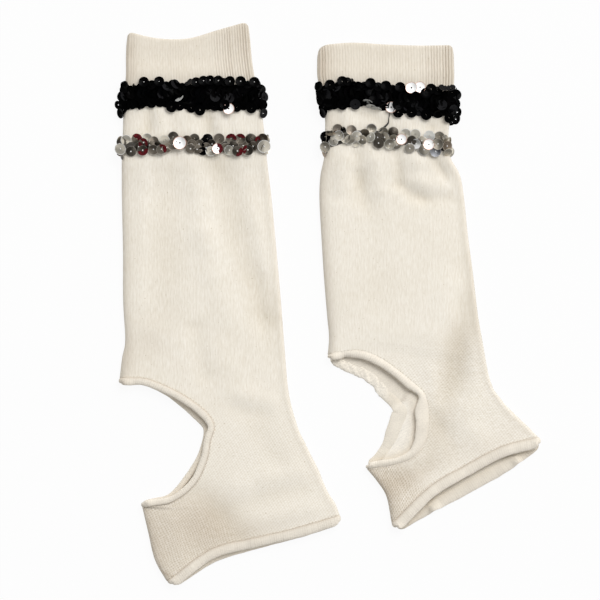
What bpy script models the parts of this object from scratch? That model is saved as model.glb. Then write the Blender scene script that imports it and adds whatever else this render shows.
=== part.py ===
"""A pair of stirrup socks laid flat side by side, each with two rings of sequin trim.

Each sock is one knitted tube: a ribbed cuff, a leg, and a foot that ends at an open toe, with a
hole cut away for the heel so that only a strap is left under the arch. The tube lies flat, as two
layers joined by a fold down each side. Rolled hems edge the heel hole and the toe, and two rings of
sequin trim go round the leg.

The outline is drawn on a layout sheet in units of UNIT metres, x to the right and y down the sheet,
so that the cuffs are at the top. The model is in metres, X to the right, Y up the sheet, Z up.
"""

import math
from collections import namedtuple

import bpy
import numpy as np

# ------------------------------------------------------------------ driving dimensions, metres
UNIT = 0.00056  # one unit of the layout sheet
SHEET_X, SHEET_Y = 327.0, 305.0  # the sheet's point that lies near the origin
WALL = 0.0015  # thickness of the knitted cloth
SEAM = 0.0003  # clearance between sewn pieces
HEM_HEIGHT = 0.0025  # a rolled hem, across its flat side
HEM_RISE = 0.0005  # a hem's middle stands this much above the cloth's middle
TOE_HEM_WIDTH = 0.0056
TRIM_UNDER = 0.0016  # sequin trim, pressed flat beneath the sock
TRIM_TOP = 0.0026  # the same trim, on top

# ------------------------------------------------------------------ mesh density
ACROSS = 9  # columns across each layer
ROUND = 3  # columns round each side fold
HEM_SIDES = 6
TRIM_ROUND = 5

# ------------------------------------------------------------------ sections, cuff to toe
# A section runs across the sock from its left edge to its right edge, in sheet units. bow_1 to
# bow_3 are how far down the sheet the section dips a quarter, a half and three quarters of the way
# across. hem is the rolled hem's width at the left end, where that end is an edge of the heel hole.
# lift is how far the sock is held off the ground by the trim beneath it, and gap is the space
# between the two layers, both in millimetres.
Section = namedtuple(
    "Section", "part left_x left_y right_x right_y bow_1 bow_2 bow_3 hem lift gap"
)
# How the lower layer differs from the upper one at a section: its left end is moved by (left_dx,
# left_dy), and its own bows take the place of the upper layer's.
Under = namedtuple("Under", "left_dx left_dy bow_1 bow_2 bow_3")
# How far the cuff's top corners drop, in sheet units, and over what share of the width.
Corner = namedtuple("Corner", "left_drop left_share right_drop right_share")

LEFT_SECTIONS = [
    #       part    left_x left_y right_x right_y bow_1 bow_2 bow_3 hem  lift gap
    Section("leg", 126.6, 33.0, 249.6, 22.6, 9.4, 12.2, 6.2, 0.0, 0.0, 1.3),
    Section("leg", 125.9, 56.0, 251.6, 54.0, 3.0, 4.0, 2.0, 0.0, 0.6, 1.3),
    Section("leg", 125.9, 76.0, 254.6, 76.0, 1.0, 1.0, 0.5, 0.0, 1.9, 1.3),
    Section("leg", 124.3, 96.0, 258.8, 96.0, 0.0, 0.0, 0.0, 0.0, 1.9, 1.3),
    Section("leg", 123.4, 119.0, 262.8, 119.0, 0.0, 0.0, 0.0, 0.0, 1.9, 1.3),
    Section("leg", 122.7, 145.0, 265.6, 145.0, 0.0, 0.0, 0.0, 0.0, 1.9, 1.3),
    Section("leg", 122.0, 160.0, 267.1, 160.0, 0.0, 0.0, 0.0, 0.0, 1.9, 1.3),
    Section("leg", 121.9, 176.0, 268.9, 176.0, 0.0, 0.0, 0.0, 0.0, 0.9, 1.4),
    Section("leg", 122.0, 199.0, 271.7, 199.0, 0.0, 0.0, 0.0, 0.0, 0.0, 1.5),
    Section("leg", 123.1, 253.0, 276.8, 253.0, 0.0, 0.0, 0.0, 0.0, 0.0, 1.5),
    Section("leg", 123.2, 300.0, 280.9, 300.0, 0.0, 0.0, 0.0, 0.0, 0.0, 1.5),
    Section("leg", 125.3, 340.0, 284.0, 340.0, 0.0, 0.0, 0.0, 0.0, 0.0, 1.5),
    Section("leg", 122.2, 358.0, 285.4, 357.0, -2.0, -2.0, -1.0, 0.0, 0.0, 1.5),
    Section("hole", 119.8, 378.3, 286.6, 372.0, -5.0, -4.0, -2.0, 7.4, 0.0, 1.5),
    Section("hole", 143.6, 377.8, 287.6, 384.0, 0.0, 0.0, 0.0, 7.4, 0.0, 1.5),
    Section("hole", 165.3, 385.4, 289.4, 396.0, 0.0, 0.0, 0.0, 7.3, 0.0, 1.5),
    Section("hole", 185.7, 395.9, 292.0, 408.0, 0.0, 0.0, 0.0, 7.5, 0.0, 1.5),
    Section("hole", 205.3, 410.6, 295.7, 420.5, 0.0, 0.0, 0.0, 7.6, 0.0, 1.5),
    Section("hole", 214.6, 425.4, 299.8, 432.5, 0.0, 0.0, 0.0, 6.8, 0.0, 1.5),
    Section("hole", 210.6, 441.0, 304.4, 443.0, 0.0, 0.0, 0.0, 6.8, 0.0, 1.5),
    Section("hole", 207.1, 460.0, 308.6, 453.0, 0.0, 0.0, 0.0, 6.8, 0.0, 1.5),
    Section("hole", 195.4, 483.6, 313.2, 463.0, 0.0, 0.0, 0.0, 6.6, 0.0, 1.5),
    Section("hole", 172.7, 501.0, 317.2, 472.0, 2.0, 2.0, 1.0, 6.0, 0.0, 1.5),
    Section("strap", 141.6, 508.0, 321.6, 481.5, 7.0, 6.0, 3.0, 6.4, 0.0, 1.5),
    Section("strap", 148.2, 531.6, 327.8, 494.0, 0.0, 0.0, 0.0, 0.0, 0.0, 1.6),
    Section("strap", 155.2, 558.5, 333.8, 503.0, -4.0, -2.0, 0.0, 0.0, 0.0, 1.6),
    Section("strap", 165.6, 579.4, 339.6, 513.0, -17.5, -9.5, -2.5, 0.0, 0.0, 1.6),
]
LEFT_UNDER = {
    #       left_dx left_dy bow_1 bow_2 bow_3
    15: Under(-0.5, 1.0, 0.0, 0.0, 0.0),
    16: Under(-2.0, 3.4, 0.0, 0.0, 0.0),
    17: Under(-4.5, 4.0, 0.0, 0.0, 0.0),
    18: Under(-5.0, 1.0, 0.0, 0.0, 0.0),
    19: Under(-1.5, 0.0, 0.0, 0.0, 0.0),
    20: Under(-4.0, -1.0, 0.0, 0.0, 0.0),
    21: Under(-5.0, -5.0, 0.0, 0.0, 0.0),
    22: Under(-1.0, -2.4, 2.0, 2.0, 1.0),
    25: Under(0.0, 0.0, -3.0, -1.0, 0.0),
    26: Under(0.0, 0.0, -13.0, -6.5, -1.0),
}
LEFT_CORNER = Corner(4.8, 0.05, 5.5, 0.05)

RIGHT_SECTIONS = [
    #       part    left_x left_y right_x right_y bow_1 bow_2 bow_3 hem  lift gap
    Section("leg", 317.0, 47.2, 454.0, 46.6, -2.8, -0.8, 0.4, 0.0, 0.0, 1.3),
    Section("leg", 317.0, 62.0, 454.0, 62.0, -1.0, 0.0, 0.0, 0.0, 0.8, 1.3),
    Section("leg", 317.3, 78.0, 454.2, 78.0, 0.0, 0.0, 0.0, 0.0, 1.9, 1.3),
    Section("leg", 321.6, 98.0, 452.6, 102.0, 0.0, 0.0, 0.0, 0.0, 1.9, 1.3),
    Section("leg", 324.8, 119.0, 449.6, 122.0, 0.0, 0.0, 0.0, 0.0, 1.9, 1.3),
    Section("leg", 325.0, 132.0, 448.3, 135.0, 0.0, 0.0, 0.0, 0.0, 1.9, 1.3),
    Section("leg", 325.0, 145.0, 448.6, 147.0, 0.0, 0.0, 0.0, 0.0, 1.9, 1.3),
    Section("leg", 323.8, 159.0, 451.2, 160.0, 0.0, 0.0, 0.0, 0.0, 1.9, 1.3),
    Section("leg", 320.2, 177.0, 460.0, 176.0, 0.0, 0.0, 0.0, 0.0, 0.7, 1.4),
    Section("leg", 319.4, 200.0, 464.2, 200.0, 0.0, 0.0, 0.0, 0.0, 0.0, 1.5),
    Section("leg", 321.2, 234.0, 467.7, 234.0, 0.0, 0.0, 0.0, 0.0, 0.0, 1.5),
    Section("leg", 323.8, 276.0, 473.2, 276.0, 0.0, 0.0, 0.0, 0.0, 0.0, 1.5),
    Section("leg", 327.1, 316.0, 478.0, 316.0, 0.0, 0.0, 0.0, 0.0, 0.0, 1.5),
    Section("leg", 328.9, 337.0, 481.8, 338.0, -4.0, -3.0, -1.0, 0.0, 0.0, 1.5),
    Section("hole", 327.6, 354.8, 484.8, 355.0, -8.5, -7.0, -3.0, 6.4, 0.0, 1.6),
    Section("hole", 349.9, 350.2, 485.8, 361.0, -1.0, -1.0, 0.0, 7.4, 0.0, 1.8),
    Section("hole", 365.8, 351.8, 487.0, 367.0, 0.0, 0.0, 0.0, 8.0, 0.0, 2.0),
    Section("hole", 381.7, 358.7, 488.3, 373.0, 0.0, 0.0, 0.0, 8.2, 0.0, 2.2),
    Section("hole", 397.7, 369.9, 490.0, 379.0, 0.0, 0.0, 0.0, 7.8, 0.0, 2.2),
    Section("hole", 412.0, 381.6, 492.2, 384.5, 0.0, 0.0, 0.0, 7.4, 0.0, 2.2),
    Section("hole", 424.0, 393.0, 494.4, 389.8, 0.0, 0.0, 0.0, 8.4, 0.0, 2.2),
    Section("hole", 428.4, 409.0, 498.0, 394.8, 0.0, 0.0, 0.0, 10.0, 0.0, 2.2),
    Section("hole", 428.4, 426.0, 501.9, 399.6, 0.0, 0.0, 0.0, 10.6, 0.0, 2.2),
    Section("hole", 424.4, 443.5, 505.5, 404.0, 0.0, 0.0, 0.0, 9.6, 0.0, 2.2),
    Section("hole", 413.0, 457.4, 509.3, 408.2, 1.0, 1.0, 0.5, 8.0, 0.0, 2.0),
    Section("hole", 395.6, 464.4, 513.2, 412.2, 3.5, 3.0, 1.5, 6.8, 0.0, 1.8),
    Section("strap", 367.2, 469.0, 517.4, 416.2, 10.0, 9.0, 5.0, 6.4, 0.0, 1.6),
    Section("strap", 377.2, 480.6, 522.4, 421.2, 6.0, 5.0, 3.0, 0.0, 0.0, 1.8),
    Section("strap", 386.6, 496.5, 527.4, 425.8, 0.0, 0.0, 0.0, 0.0, 0.0, 2.2),
    Section("strap", 390.2, 521.0, 536.2, 433.6, -11.5, -11.5, -8.5, 0.0, 0.0, 2.8),
]
RIGHT_UNDER = {
    #       left_dx left_dy bow_1 bow_2 bow_3
    15: Under(-5.0, 11.8, 0.0, 0.0, 0.0),
    16: Under(-9.0, 15.6, 0.0, 0.0, 0.0),
    17: Under(-13.6, 13.8, 0.0, 0.0, 0.0),
    18: Under(-20.0, 12.0, 0.0, 0.0, 0.0),
    19: Under(-25.0, 10.0, 0.0, 0.0, 0.0),
    20: Under(-26.5, 9.0, 0.0, 0.0, 0.0),
    21: Under(-26.0, 2.5, 0.0, 0.0, 0.0),
    22: Under(-28.4, -3.0, 1.0, 1.0, 0.5),
    23: Under(-30.0, -7.0, 2.0, 2.0, 1.0),
    24: Under(-24.0, -10.0, 4.0, 4.0, 2.0),
    25: Under(-16.0, -5.2, 7.0, 6.0, 3.0),
    26: Under(0.0, 0.0, 11.0, 10.0, 6.0),
    27: Under(0.0, 0.0, 11.0, 11.0, 8.0),
    28: Under(0.0, 0.0, 8.0, 10.0, 9.0),
    29: Under(0.0, 0.0, 5.6, 9.0, 12.4),
}
RIGHT_CORNER = Corner(7.0, 0.11, 4.5, 0.04)

# A crease or a ridge runs from (x1, y1) to (x2, y2) on the sheet, in the upper layer. width is in
# sheet units, and height in millimetres, below nought for a crease.
Crease = namedtuple("Crease", "x1 y1 x2 y2 width height")
LEFT_CREASES = [
    Crease(172, 190, 180, 320, 14, -0.45),
    Crease(200, 180, 214, 300, 14, 0.40),
    Crease(221, 180, 268, 285, 13, -0.50),
    Crease(150, 116, 149, 128, 7, -0.35),
    Crease(206, 118, 208, 132, 8, -0.35),
    Crease(200, 335, 204, 372, 12, -0.25),
    Crease(200, 492, 236, 540, 18, -0.35),
    Crease(250, 480, 300, 500, 18, 0.30),
]
RIGHT_CREASES = [
    Crease(358, 162, 372, 205, 11, -0.50),
    Crease(344, 165, 340, 215, 12, 0.40),
    Crease(398, 160, 410, 182, 9, -0.30),
    Crease(434, 164, 444, 184, 8, -0.40),
    Crease(398, 193, 456, 202, 8, -0.45),
    Crease(404, 180, 440, 186, 10, 0.35),
    Crease(474, 318, 440, 378, 13, -0.45),
    Crease(446, 398, 478, 442, 14, 0.30),
    Crease(392, 478, 420, 460, 14, -0.25),
]

# The trims. The five heights are where the ring's middle crosses the upper layer, from its left
# side to its right, on the sheet. half is half of its width, and out_left and out_right are how far
# it stands off at the side folds, in millimetres.
Trim = namedtuple("Trim", "node at_left at_1 at_2 at_3 at_right half out_left out_right")
LEFT_TRIMS = [
    Trim("left_black_trim", 99.0, 93.5, 96.0, 95.0, 97.0, 16.5, 5.2, 3.8),
    Trim("left_silver_trim", 146.5, 145.5, 144.0, 146.0, 144.5, 10.5, 4.2, 2.2),
]
RIGHT_TRIMS = [
    Trim("right_black_trim", 99.0, 94.5, 97.5, 101.5, 105.0, 17.5, 2.6, 4.2),
    Trim("right_silver_trim", 143.5, 135.5, 137.0, 143.0, 147.0, 11.0, 2.4, 1.3),
]

# ------------------------------------------------------------------ colours and finishes
COTTON = (0.80, 0.75, 0.66, 1.0)
RIB = (0.76, 0.70, 0.61, 1.0)
BLACK = (0.008, 0.008, 0.009, 1.0)
SILVER = (0.42, 0.41, 0.40, 1.0)


# ------------------------------------------------------------------ smooth curves through a table
def slopes(knots, values, steady):
    """The slope at each knot: the mean of the slopes to its two neighbours, each weighted by the
    other's distance. A steady curve is level at its peaks, its dips and the ends of its flats."""
    step = np.diff(knots)[:, None]
    rise = np.diff(values, axis=0) / step
    inner = (rise[:-1] * step[1:] + rise[1:] * step[:-1]) / (step[:-1] + step[1:])
    if steady:
        inner = np.where(rise[:-1] * rise[1:] > 0, inner, 0.0)
    return np.vstack([rise[:1], inner, rise[-1:]])


def smooth(knots, values, x, steady=False):
    """The value at x of a smooth curve through values at knots."""
    knots, values = np.asarray(knots, float), np.asarray(values, float)
    values = values.reshape(len(knots), -1)
    if len(knots) == 2:
        f = (x - knots[0]) / (knots[1] - knots[0])
        return values[0] * (1 - f) + values[1] * f
    m = slopes(knots, values, steady)
    i = int(np.clip(np.searchsorted(knots, x) - 1, 0, len(knots) - 2))
    h = knots[i + 1] - knots[i]
    f = (x - knots[i]) / h
    return (
        values[i] * (2 * f**3 - 3 * f**2 + 1)
        + m[i] * h * (f**3 - 2 * f**2 + f)
        + values[i + 1] * (3 * f**2 - 2 * f**3)
        + m[i + 1] * h * (f**3 - f**2)
    )


QUARTERS = (0.0, 0.25, 0.5, 0.75, 1.0)


class Sock:
    """The tube's middle surface, from its sections."""

    def __init__(self, sections, under, corner, creases):
        self.sections, self.corner, self.creases = sections, corner, creases
        self.count = len(sections)
        self.first_hole = [s.part for s in sections].index("hole")
        self.first_strap = [s.part for s in sections].index("strap")
        self.under = [
            under.get(i, Under(0.0, 0.0, s.bow_1, s.bow_2, s.bow_3))
            for i, s in enumerate(sections)
        ]

    def span(self, at):
        """The first and last section of the stretch that a place lies in: leg, hole or strap."""
        if at <= self.first_hole:
            return 0, self.first_hole
        if at < self.first_strap:
            return self.first_hole, self.first_strap
        return self.first_strap, self.count - 1

    def is_open(self, at):
        """Whether the left fold is cut away here."""
        return self.first_hole + 1e-6 < at < self.first_strap - 1e-6

    def column(self, at, *names, steady=False):
        """The table's named columns at a place between sections."""
        knots = np.arange(self.count)
        values = [[getattr(s, n) for n in names] for s in self.sections]
        return smooth(knots, values, at, steady)

    def size(self, at):
        """(lift, half of the whole thickness, fold radius of the middle surface), in metres."""
        lift, gap = self.column(at, "lift", "gap", steady=True) / 1000
        return lift, WALL + gap / 2, (WALL + gap) / 2

    def left_end(self, at, lower):
        """The left end of a layer on the sheet. Where the tube is closed that is the outline."""
        low, high = self.span(at)
        knots = np.arange(low, high + 1)
        ends = []
        for i in knots:
            s, u = self.sections[i], self.under[i]
            inset = 0.0
            if self.is_open(at) and i in (self.first_hole, self.first_strap):
                inset = self.size(i)[1] / UNIT
            dx, dy = (u.left_dx, u.left_dy) if lower else (0.0, 0.0)
            ends.append((s.left_x + inset + dx, s.left_y + dy))
        return smooth(knots, ends, at)

    def bows(self, at, lower):
        knots = np.arange(self.count)
        rows = self.under if lower else self.sections
        values = [(r.bow_1, r.bow_2, r.bow_3) for r in rows]
        return smooth(knots, values, at)

    def drop(self, at, share):
        """How far the cuff's rounded corners drop."""
        c = self.corner
        fade = max(0.0, 1.0 - at / 1.5) ** 2
        left = max(0.0, 1.0 - share / c.left_share) ** 2 * c.left_drop
        right = max(0.0, 1.0 - (1.0 - share) / c.right_share) ** 2 * c.right_drop
        return fade * (left + right)

    def on_sheet(self, at, share, lower=False):
        """A layer's point on the sheet, share of the way from its left end to its right end."""
        left = self.left_end(at, lower)
        right = self.column(at, "right_x", "right_y")
        b1, b2, b3 = self.bows(at, lower)
        bow = smooth(QUARTERS, (0.0, b1, b2, b3, 0.0), share)[0]
        point = left * (1 - share) + right * share
        return point + np.array([0.0, bow + self.drop(at, share)])

    def crease(self, point):
        """The upper layer's height above its plain form at a point of the sheet, in metres."""
        height = 0.0
        for c in self.creases:
            a, b = np.array([c.x1, c.y1], float), np.array([c.x2, c.y2], float)
            along = float((point - a) @ (b - a) / ((b - a) @ (b - a)))
            near = a + (b - a) * min(1.0, max(0.0, along))
            away = np.linalg.norm(point - near) / c.width
            height += c.height / 1000 * math.exp(-away * away)
        return height

    def row(self, at):
        """One ring of the middle surface, from the upper layer's left end, over to the right fold
        and back along the lower layer, as (points, outward normals). A closed ring also has its left
        fold, at the end."""
        lift, half, radius = self.size(at)
        closed = not self.is_open(at)
        points, normals = [], []

        def add(sheet, z, normal):
            points.append((*to_metres(sheet), z))
            normals.append(normal)

        middle = lift + half
        for lower in (False, True):
            left = self.left_end(at, lower)
            right = self.column(at, "right_x", "right_y")
            width = np.linalg.norm(right - left) * UNIT
            low = half / width if closed else 0.0
            high = 1.0 - half / width
            shares = low + (high - low) * np.linspace(0, 1, ACROSS)
            for share in shares[::-1] if lower else shares:
                sheet = self.on_sheet(at, share, lower)
                if lower:
                    add(sheet, middle - radius, (0, 0, -1))
                else:
                    edge = min(1.0, 8 * (1 - share), 8 * share if closed else 1.0)
                    z = middle + radius + edge * self.crease(sheet)
                    add(sheet, z, (0, 0, 1))
            # The fold that follows this layer: the right one after the upper layer.
            if lower and not closed:
                continue
            end = 1.0 if not lower else 0.0
            fold_share = high if not lower else low
            other = self.on_sheet(at, fold_share, not lower)
            here = self.on_sheet(at, fold_share, lower)
            tip = self.on_sheet(at, end, False) * 0.5 + self.on_sheet(at, end, True) * 0.5
            way = tip - (here + other) / 2
            way = way / np.linalg.norm(way)
            for k in range(1, ROUND + 1):
                turn = math.pi * k / (ROUND + 1)
                angle = math.pi / 2 - turn if not lower else -math.pi / 2 - turn
                share = k / (ROUND + 1)
                centre = here * (1 - share) + other * share
                out = math.sin(turn)
                sheet = centre + way * radius * out / UNIT
                z = middle + radius * math.sin(angle)
                normal = (way[0] * out, -way[1] * out, math.sin(angle))
                add(sheet, z, normal)
        return points, normals


def to_metres(sheet):
    return (sheet[0] - SHEET_X) * UNIT, (SHEET_Y - sheet[1]) * UNIT


# ------------------------------------------------------------------ Blender objects
def clear_scene():
    for thing in list(bpy.data.objects):
        bpy.data.objects.remove(thing, do_unlink=True)


def make_material(name, colour, roughness, metallic):
    made = bpy.data.materials.new(name)
    made.use_nodes = True
    shader = made.node_tree.nodes["Principled BSDF"]
    shader.inputs["Base Color"].default_value = colour
    shader.inputs["Roughness"].default_value = roughness
    shader.inputs["Metallic"].default_value = metallic
    return made


def make_object(name, points, faces, material, collection, parent):
    mesh = bpy.data.meshes.new(name)
    mesh.from_pydata([tuple(map(float, p)) for p in points], [], faces)
    mesh.validate()
    mesh.shade_smooth()
    mesh.set_sharp_from_angle(angle=math.radians(40))
    made = bpy.data.objects.new(name, mesh)
    mesh.materials.append(material)
    collection.objects.link(made)
    made.parent = parent
    return made


def body_rows(sock):
    """The places of the body's rings. The cuff's, the trims' and the hole's bends have more."""
    places = []
    for i in range(sock.count - 1):
        a, b = sock.sections[i], sock.sections[i + 1]
        long = math.hypot(b.right_x - a.right_x, b.right_y - a.right_y) > 36
        steps = 2 if long or i in (0, sock.first_strap, sock.count - 2) else 1
        places += [i + k / steps for k in range(steps)]
    return places + [sock.count - 1]


def body_mesh(sock):
    """The tube's middle surface as one open sheet, and the edges of its hole and its toe as lists
    of (point, normal)."""
    rows = body_rows(sock)
    rings = [sock.row(at) for at in rows]
    points, starts = [], []
    for ring, _ in rings:
        starts.append(len(points))
        points += ring
    faces = []
    full = 2 * ACROSS + 2 * ROUND
    for r in range(len(rows) - 1):
        here_open, next_open = sock.is_open(rows[r]), sock.is_open(rows[r + 1])
        columns = full if not (here_open or next_open) else 2 * ACROSS + ROUND - 1
        for c in range(columns):
            d = (c + 1) % full
            a, b = starts[r], starts[r + 1]
            faces.append((a + c, b + c, b + d, a + d))
    open_rows = [i for i, at in enumerate(rows) if sock.is_open(at)]
    top, bottom = open_rows[0] - 1, open_rows[-1] + 1
    last = 2 * ACROSS + ROUND - 1  # the lower layer's left end
    pick = lambda r, c: (np.array(rings[r][0][c]), np.array(rings[r][1][c], float))
    hole = [pick(r, 0) for r in range(top, bottom + 1)]
    hole += [pick(bottom, full - 1 - k) for k in range(ROUND)]
    hole += [pick(r, last) for r in range(bottom, top - 1, -1)]
    hole += [pick(top, last + 1 + k) for k in range(ROUND)]
    end = len(rows) - 1
    toe = [pick(end, c) for c in range(full)]
    widths = [sock.column(rows[r], "hem")[0] for r in range(top, bottom + 1)]
    hole_widths = widths + [widths[-1]] * ROUND + widths[::-1] + [widths[0]] * ROUND
    return points, faces, (hole, [w * UNIT for w in hole_widths]), (toe, [TOE_HEM_WIDTH] * full)


def ring_faces(count, sides):
    """Quads of a closed ring of closed sections."""
    return [
        (
            i * sides + j,
            ((i + 1) % count) * sides + j,
            ((i + 1) % count) * sides + (j + 1) % sides,
            i * sides + (j + 1) % sides,
        )
        for i in range(count)
        for j in range(sides)
    ]


def hem_mesh(edge, widths):
    """A rolled hem beside a closed edge of (point, normal), on the right of its way round."""
    count = len(edge)
    places = np.array([p for p, _ in edge])
    points = []
    for i, (place, normal) in enumerate(edge):
        before, after = places[i] - places[i - 1], places[(i + 1) % count] - places[i]
        tangent = before / np.linalg.norm(before) + after / np.linalg.norm(after)
        side = np.cross(tangent, normal)
        side = side / np.linalg.norm(side)
        normal = normal / np.linalg.norm(normal)
        half = widths[i] / 2
        centre = place + side * (1.5 * SEAM + half) + np.array([0, 0, HEM_RISE])
        for j in range(HEM_SIDES):
            a = 2 * math.pi * j / HEM_SIDES
            points.append(
                centre + side * half * math.cos(a) + normal * HEM_HEIGHT / 2 * math.sin(a)
            )
    return points, ring_faces(count, HEM_SIDES)


def outward(points, faces):
    """The faces, turned so that they look out of the closed body."""
    points = np.array(points)
    volume = 0.0
    for f in faces:
        for k in range(1, len(f) - 1):
            a, b, c = points[f[0]], points[f[k]], points[f[k + 1]]
            volume += float(np.dot(a, np.cross(b, c)))
    return faces if volume > 0 else [tuple(reversed(f)) for f in faces]


def leg_place(sock, height, share):
    """The section place whose row passes a height of the sheet, on the leg."""
    low, high = 0.0, float(sock.first_hole)
    for _ in range(30):
        middle = (low + high) / 2
        if sock.on_sheet(middle, share)[1] < height:
            low = middle
        else:
            high = middle
    return (low + high) / 2


def trim_mesh(sock, trim):
    """A ring of sequin trim around the leg, SEAM clear of the cloth. It is flat below, fuller on
    top and stands off most at the side folds."""
    heights = (trim.at_left, trim.at_1, trim.at_2, trim.at_3, trim.at_right)
    shares = np.linspace(0, 1, ACROSS + 2)[1:-1]
    stops = [(s, "top") for s in shares]
    stops += [(1.0, k) for k in range(TRIM_ROUND)]
    stops += [(s, "under") for s in shares[::-1]]
    stops += [(0.0, k) for k in range(TRIM_ROUND)]
    # Across the band: (place from its middle, share of the thickness).
    profile = [(-1.0, 0.0), (-1.0, 0.55), (-0.62, 1.0), (0.62, 1.0), (1.0, 0.55), (1.0, 0.0)]
    profile += [(0.0, 0.0)]
    points = []
    for share, kind in stops:
        height = smooth(QUARTERS, heights, share)[0]
        for across, deep in profile:
            at = leg_place(sock, height + across * trim.half, 0.5)
            lift, half, _ = sock.size(at)
            left, right = sock.on_sheet(at, 0.0), sock.on_sheet(at, 1.0)
            inset = half / UNIT
            inner = half + SEAM
            y = height + across * trim.half
            if kind in ("top", "under"):
                x = left[0] + inset + (right[0] - left[0] - 2 * inset) * share
                if kind == "top":
                    z = lift + half + inner + TRIM_TOP * deep
                else:
                    z = lift + half - inner - TRIM_UNDER * deep
                    z = max(z, 0.0)
                sheet = (x, y)
            else:
                turn = math.pi * (kind + 0.5) / TRIM_ROUND
                rightward = share == 1.0
                centre = right[0] - inset if rightward else left[0] + inset
                up = math.cos(turn) if rightward else -math.cos(turn)
                out = math.sin(turn)
                thick = TRIM_TOP if up > 0 else TRIM_UNDER
                side = (trim.out_right if rightward else trim.out_left) / 1000
                reach = inner + deep * (thick + (side - thick) * out**2)
                rise = inner + deep * thick
                x = centre + (1 if rightward else -1) * out * reach / UNIT
                z = max(lift + half + up * rise, 0.0)
                sheet = (x, y)
            points.append((*to_metres(sheet), z))
    return points, ring_faces(len(stops), len(profile))


def build_sock(name, sock, trims, collection, parent, materials):
    points, faces, hole, toe = body_mesh(sock)
    body = make_object(f"{name}_body", points, faces, materials["cotton"], collection, parent)
    shell = body.modifiers.new("wall", "SOLIDIFY")
    shell.thickness = WALL
    shell.offset = 0.0
    for label, (edge, widths) in (("heel", hole), ("toe", toe)):
        hem_points, hem_faces = hem_mesh(edge, widths)
        make_object(
            f"{name}_{label}_hem",
            hem_points,
            outward(hem_points, hem_faces),
            materials["hem"],
            collection,
            parent,
        )
    for trim in trims:
        trim_points, trim_faces = trim_mesh(sock, trim)
        kind = "black" if "black" in trim.node else "silver"
        make_object(
            trim.node,
            trim_points,
            outward(trim_points, trim_faces),
            materials[kind],
            collection,
            parent,
        )


def main():
    clear_scene()
    collection = bpy.data.collections.new("stirrup_socks")
    bpy.context.scene.collection.children.link(collection)
    pair = bpy.data.objects.new("pair", None)
    collection.objects.link(pair)
    materials = {
        "cotton": make_material("knitted_cotton", COTTON, 0.95, 0.0),
        "hem": make_material("rolled_hem", RIB, 0.95, 0.0),
        "black": make_material("black_sequins", BLACK, 0.25, 0.0),
        "silver": make_material("silver_sequins", SILVER, 0.2, 0.8),
    }
    left = Sock(LEFT_SECTIONS, LEFT_UNDER, LEFT_CORNER, LEFT_CREASES)
    right = Sock(RIGHT_SECTIONS, RIGHT_UNDER, RIGHT_CORNER, RIGHT_CREASES)
    build_sock("left", left, LEFT_TRIMS, collection, pair, materials)
    build_sock("right", right, RIGHT_TRIMS, collection, pair, materials)
    # The pair's origin is under the middle of its box.
    bpy.context.view_layer.update()
    graph = bpy.context.evaluated_depsgraph_get()
    corners = []
    for thing in collection.objects:
        if thing.type == "MESH":
            mesh = thing.evaluated_get(graph).to_mesh()
            corners += [tuple(v.co) for v in mesh.vertices]
            thing.evaluated_get(graph).to_mesh_clear()
    corners = np.array(corners)
    low, high = corners.min(axis=0), corners.max(axis=0)
    pair.location = (-(low[0] + high[0]) / 2, -(low[1] + high[1]) / 2, -low[2])


main()
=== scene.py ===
"""The looks of a pair of stirrup socks laid flat: ribbed cuffs, knitted legs, rolled hems round the
heel holes and the open toes, and two rings of sequin trim on each leg."""

import math

from collections import namedtuple

import bpy
import numpy as np
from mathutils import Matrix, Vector
from mathutils.bvhtree import BVHTree


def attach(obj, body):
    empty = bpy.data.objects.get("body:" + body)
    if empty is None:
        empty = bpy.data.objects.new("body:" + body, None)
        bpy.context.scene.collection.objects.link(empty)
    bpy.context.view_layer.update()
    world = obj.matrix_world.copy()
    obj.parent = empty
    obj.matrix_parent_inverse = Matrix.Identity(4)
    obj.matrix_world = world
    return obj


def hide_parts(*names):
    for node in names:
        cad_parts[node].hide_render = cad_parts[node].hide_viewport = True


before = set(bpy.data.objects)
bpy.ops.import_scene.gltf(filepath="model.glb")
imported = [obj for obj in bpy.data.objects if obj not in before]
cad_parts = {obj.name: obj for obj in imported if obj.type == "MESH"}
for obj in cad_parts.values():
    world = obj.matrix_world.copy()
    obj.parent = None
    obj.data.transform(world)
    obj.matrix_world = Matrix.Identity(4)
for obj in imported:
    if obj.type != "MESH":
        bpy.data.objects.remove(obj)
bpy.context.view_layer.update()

# ------------------------------------------------------------------ sizes, metres
UNIT = 0.00056  # one unit of the layout sheet the socks are drawn on
SHEET_X, SHEET_Y = 327.0, 305.0
SHIFT = (-0.000266, 0.000342)  # the pair's box is centred on the origin
WALL = 0.0015
HEM_HEIGHT = 0.0026
HEM_RISE = 0.0005
TOE_HEM_WIDTH = {"left": 0.0056, "right": 0.0062}

# ------------------------------------------------------------------ sections, cuff to toe
# Each row runs across a sock from its left edge to its right edge, on the sheet (x right, y down).
Section = namedtuple(
    "Section", "part left_x left_y right_x right_y bow_1 bow_2 bow_3 hem lift gap"
)
Under = namedtuple("Under", "left_dx left_dy bow_1 bow_2 bow_3")
Corner = namedtuple("Corner", "left_drop left_share right_drop right_share")
Crease = namedtuple("Crease", "x1 y1 x2 y2 width height")
Trim = namedtuple("Trim", "node at_left at_1 at_2 at_3 at_right half out_left out_right")

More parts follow.
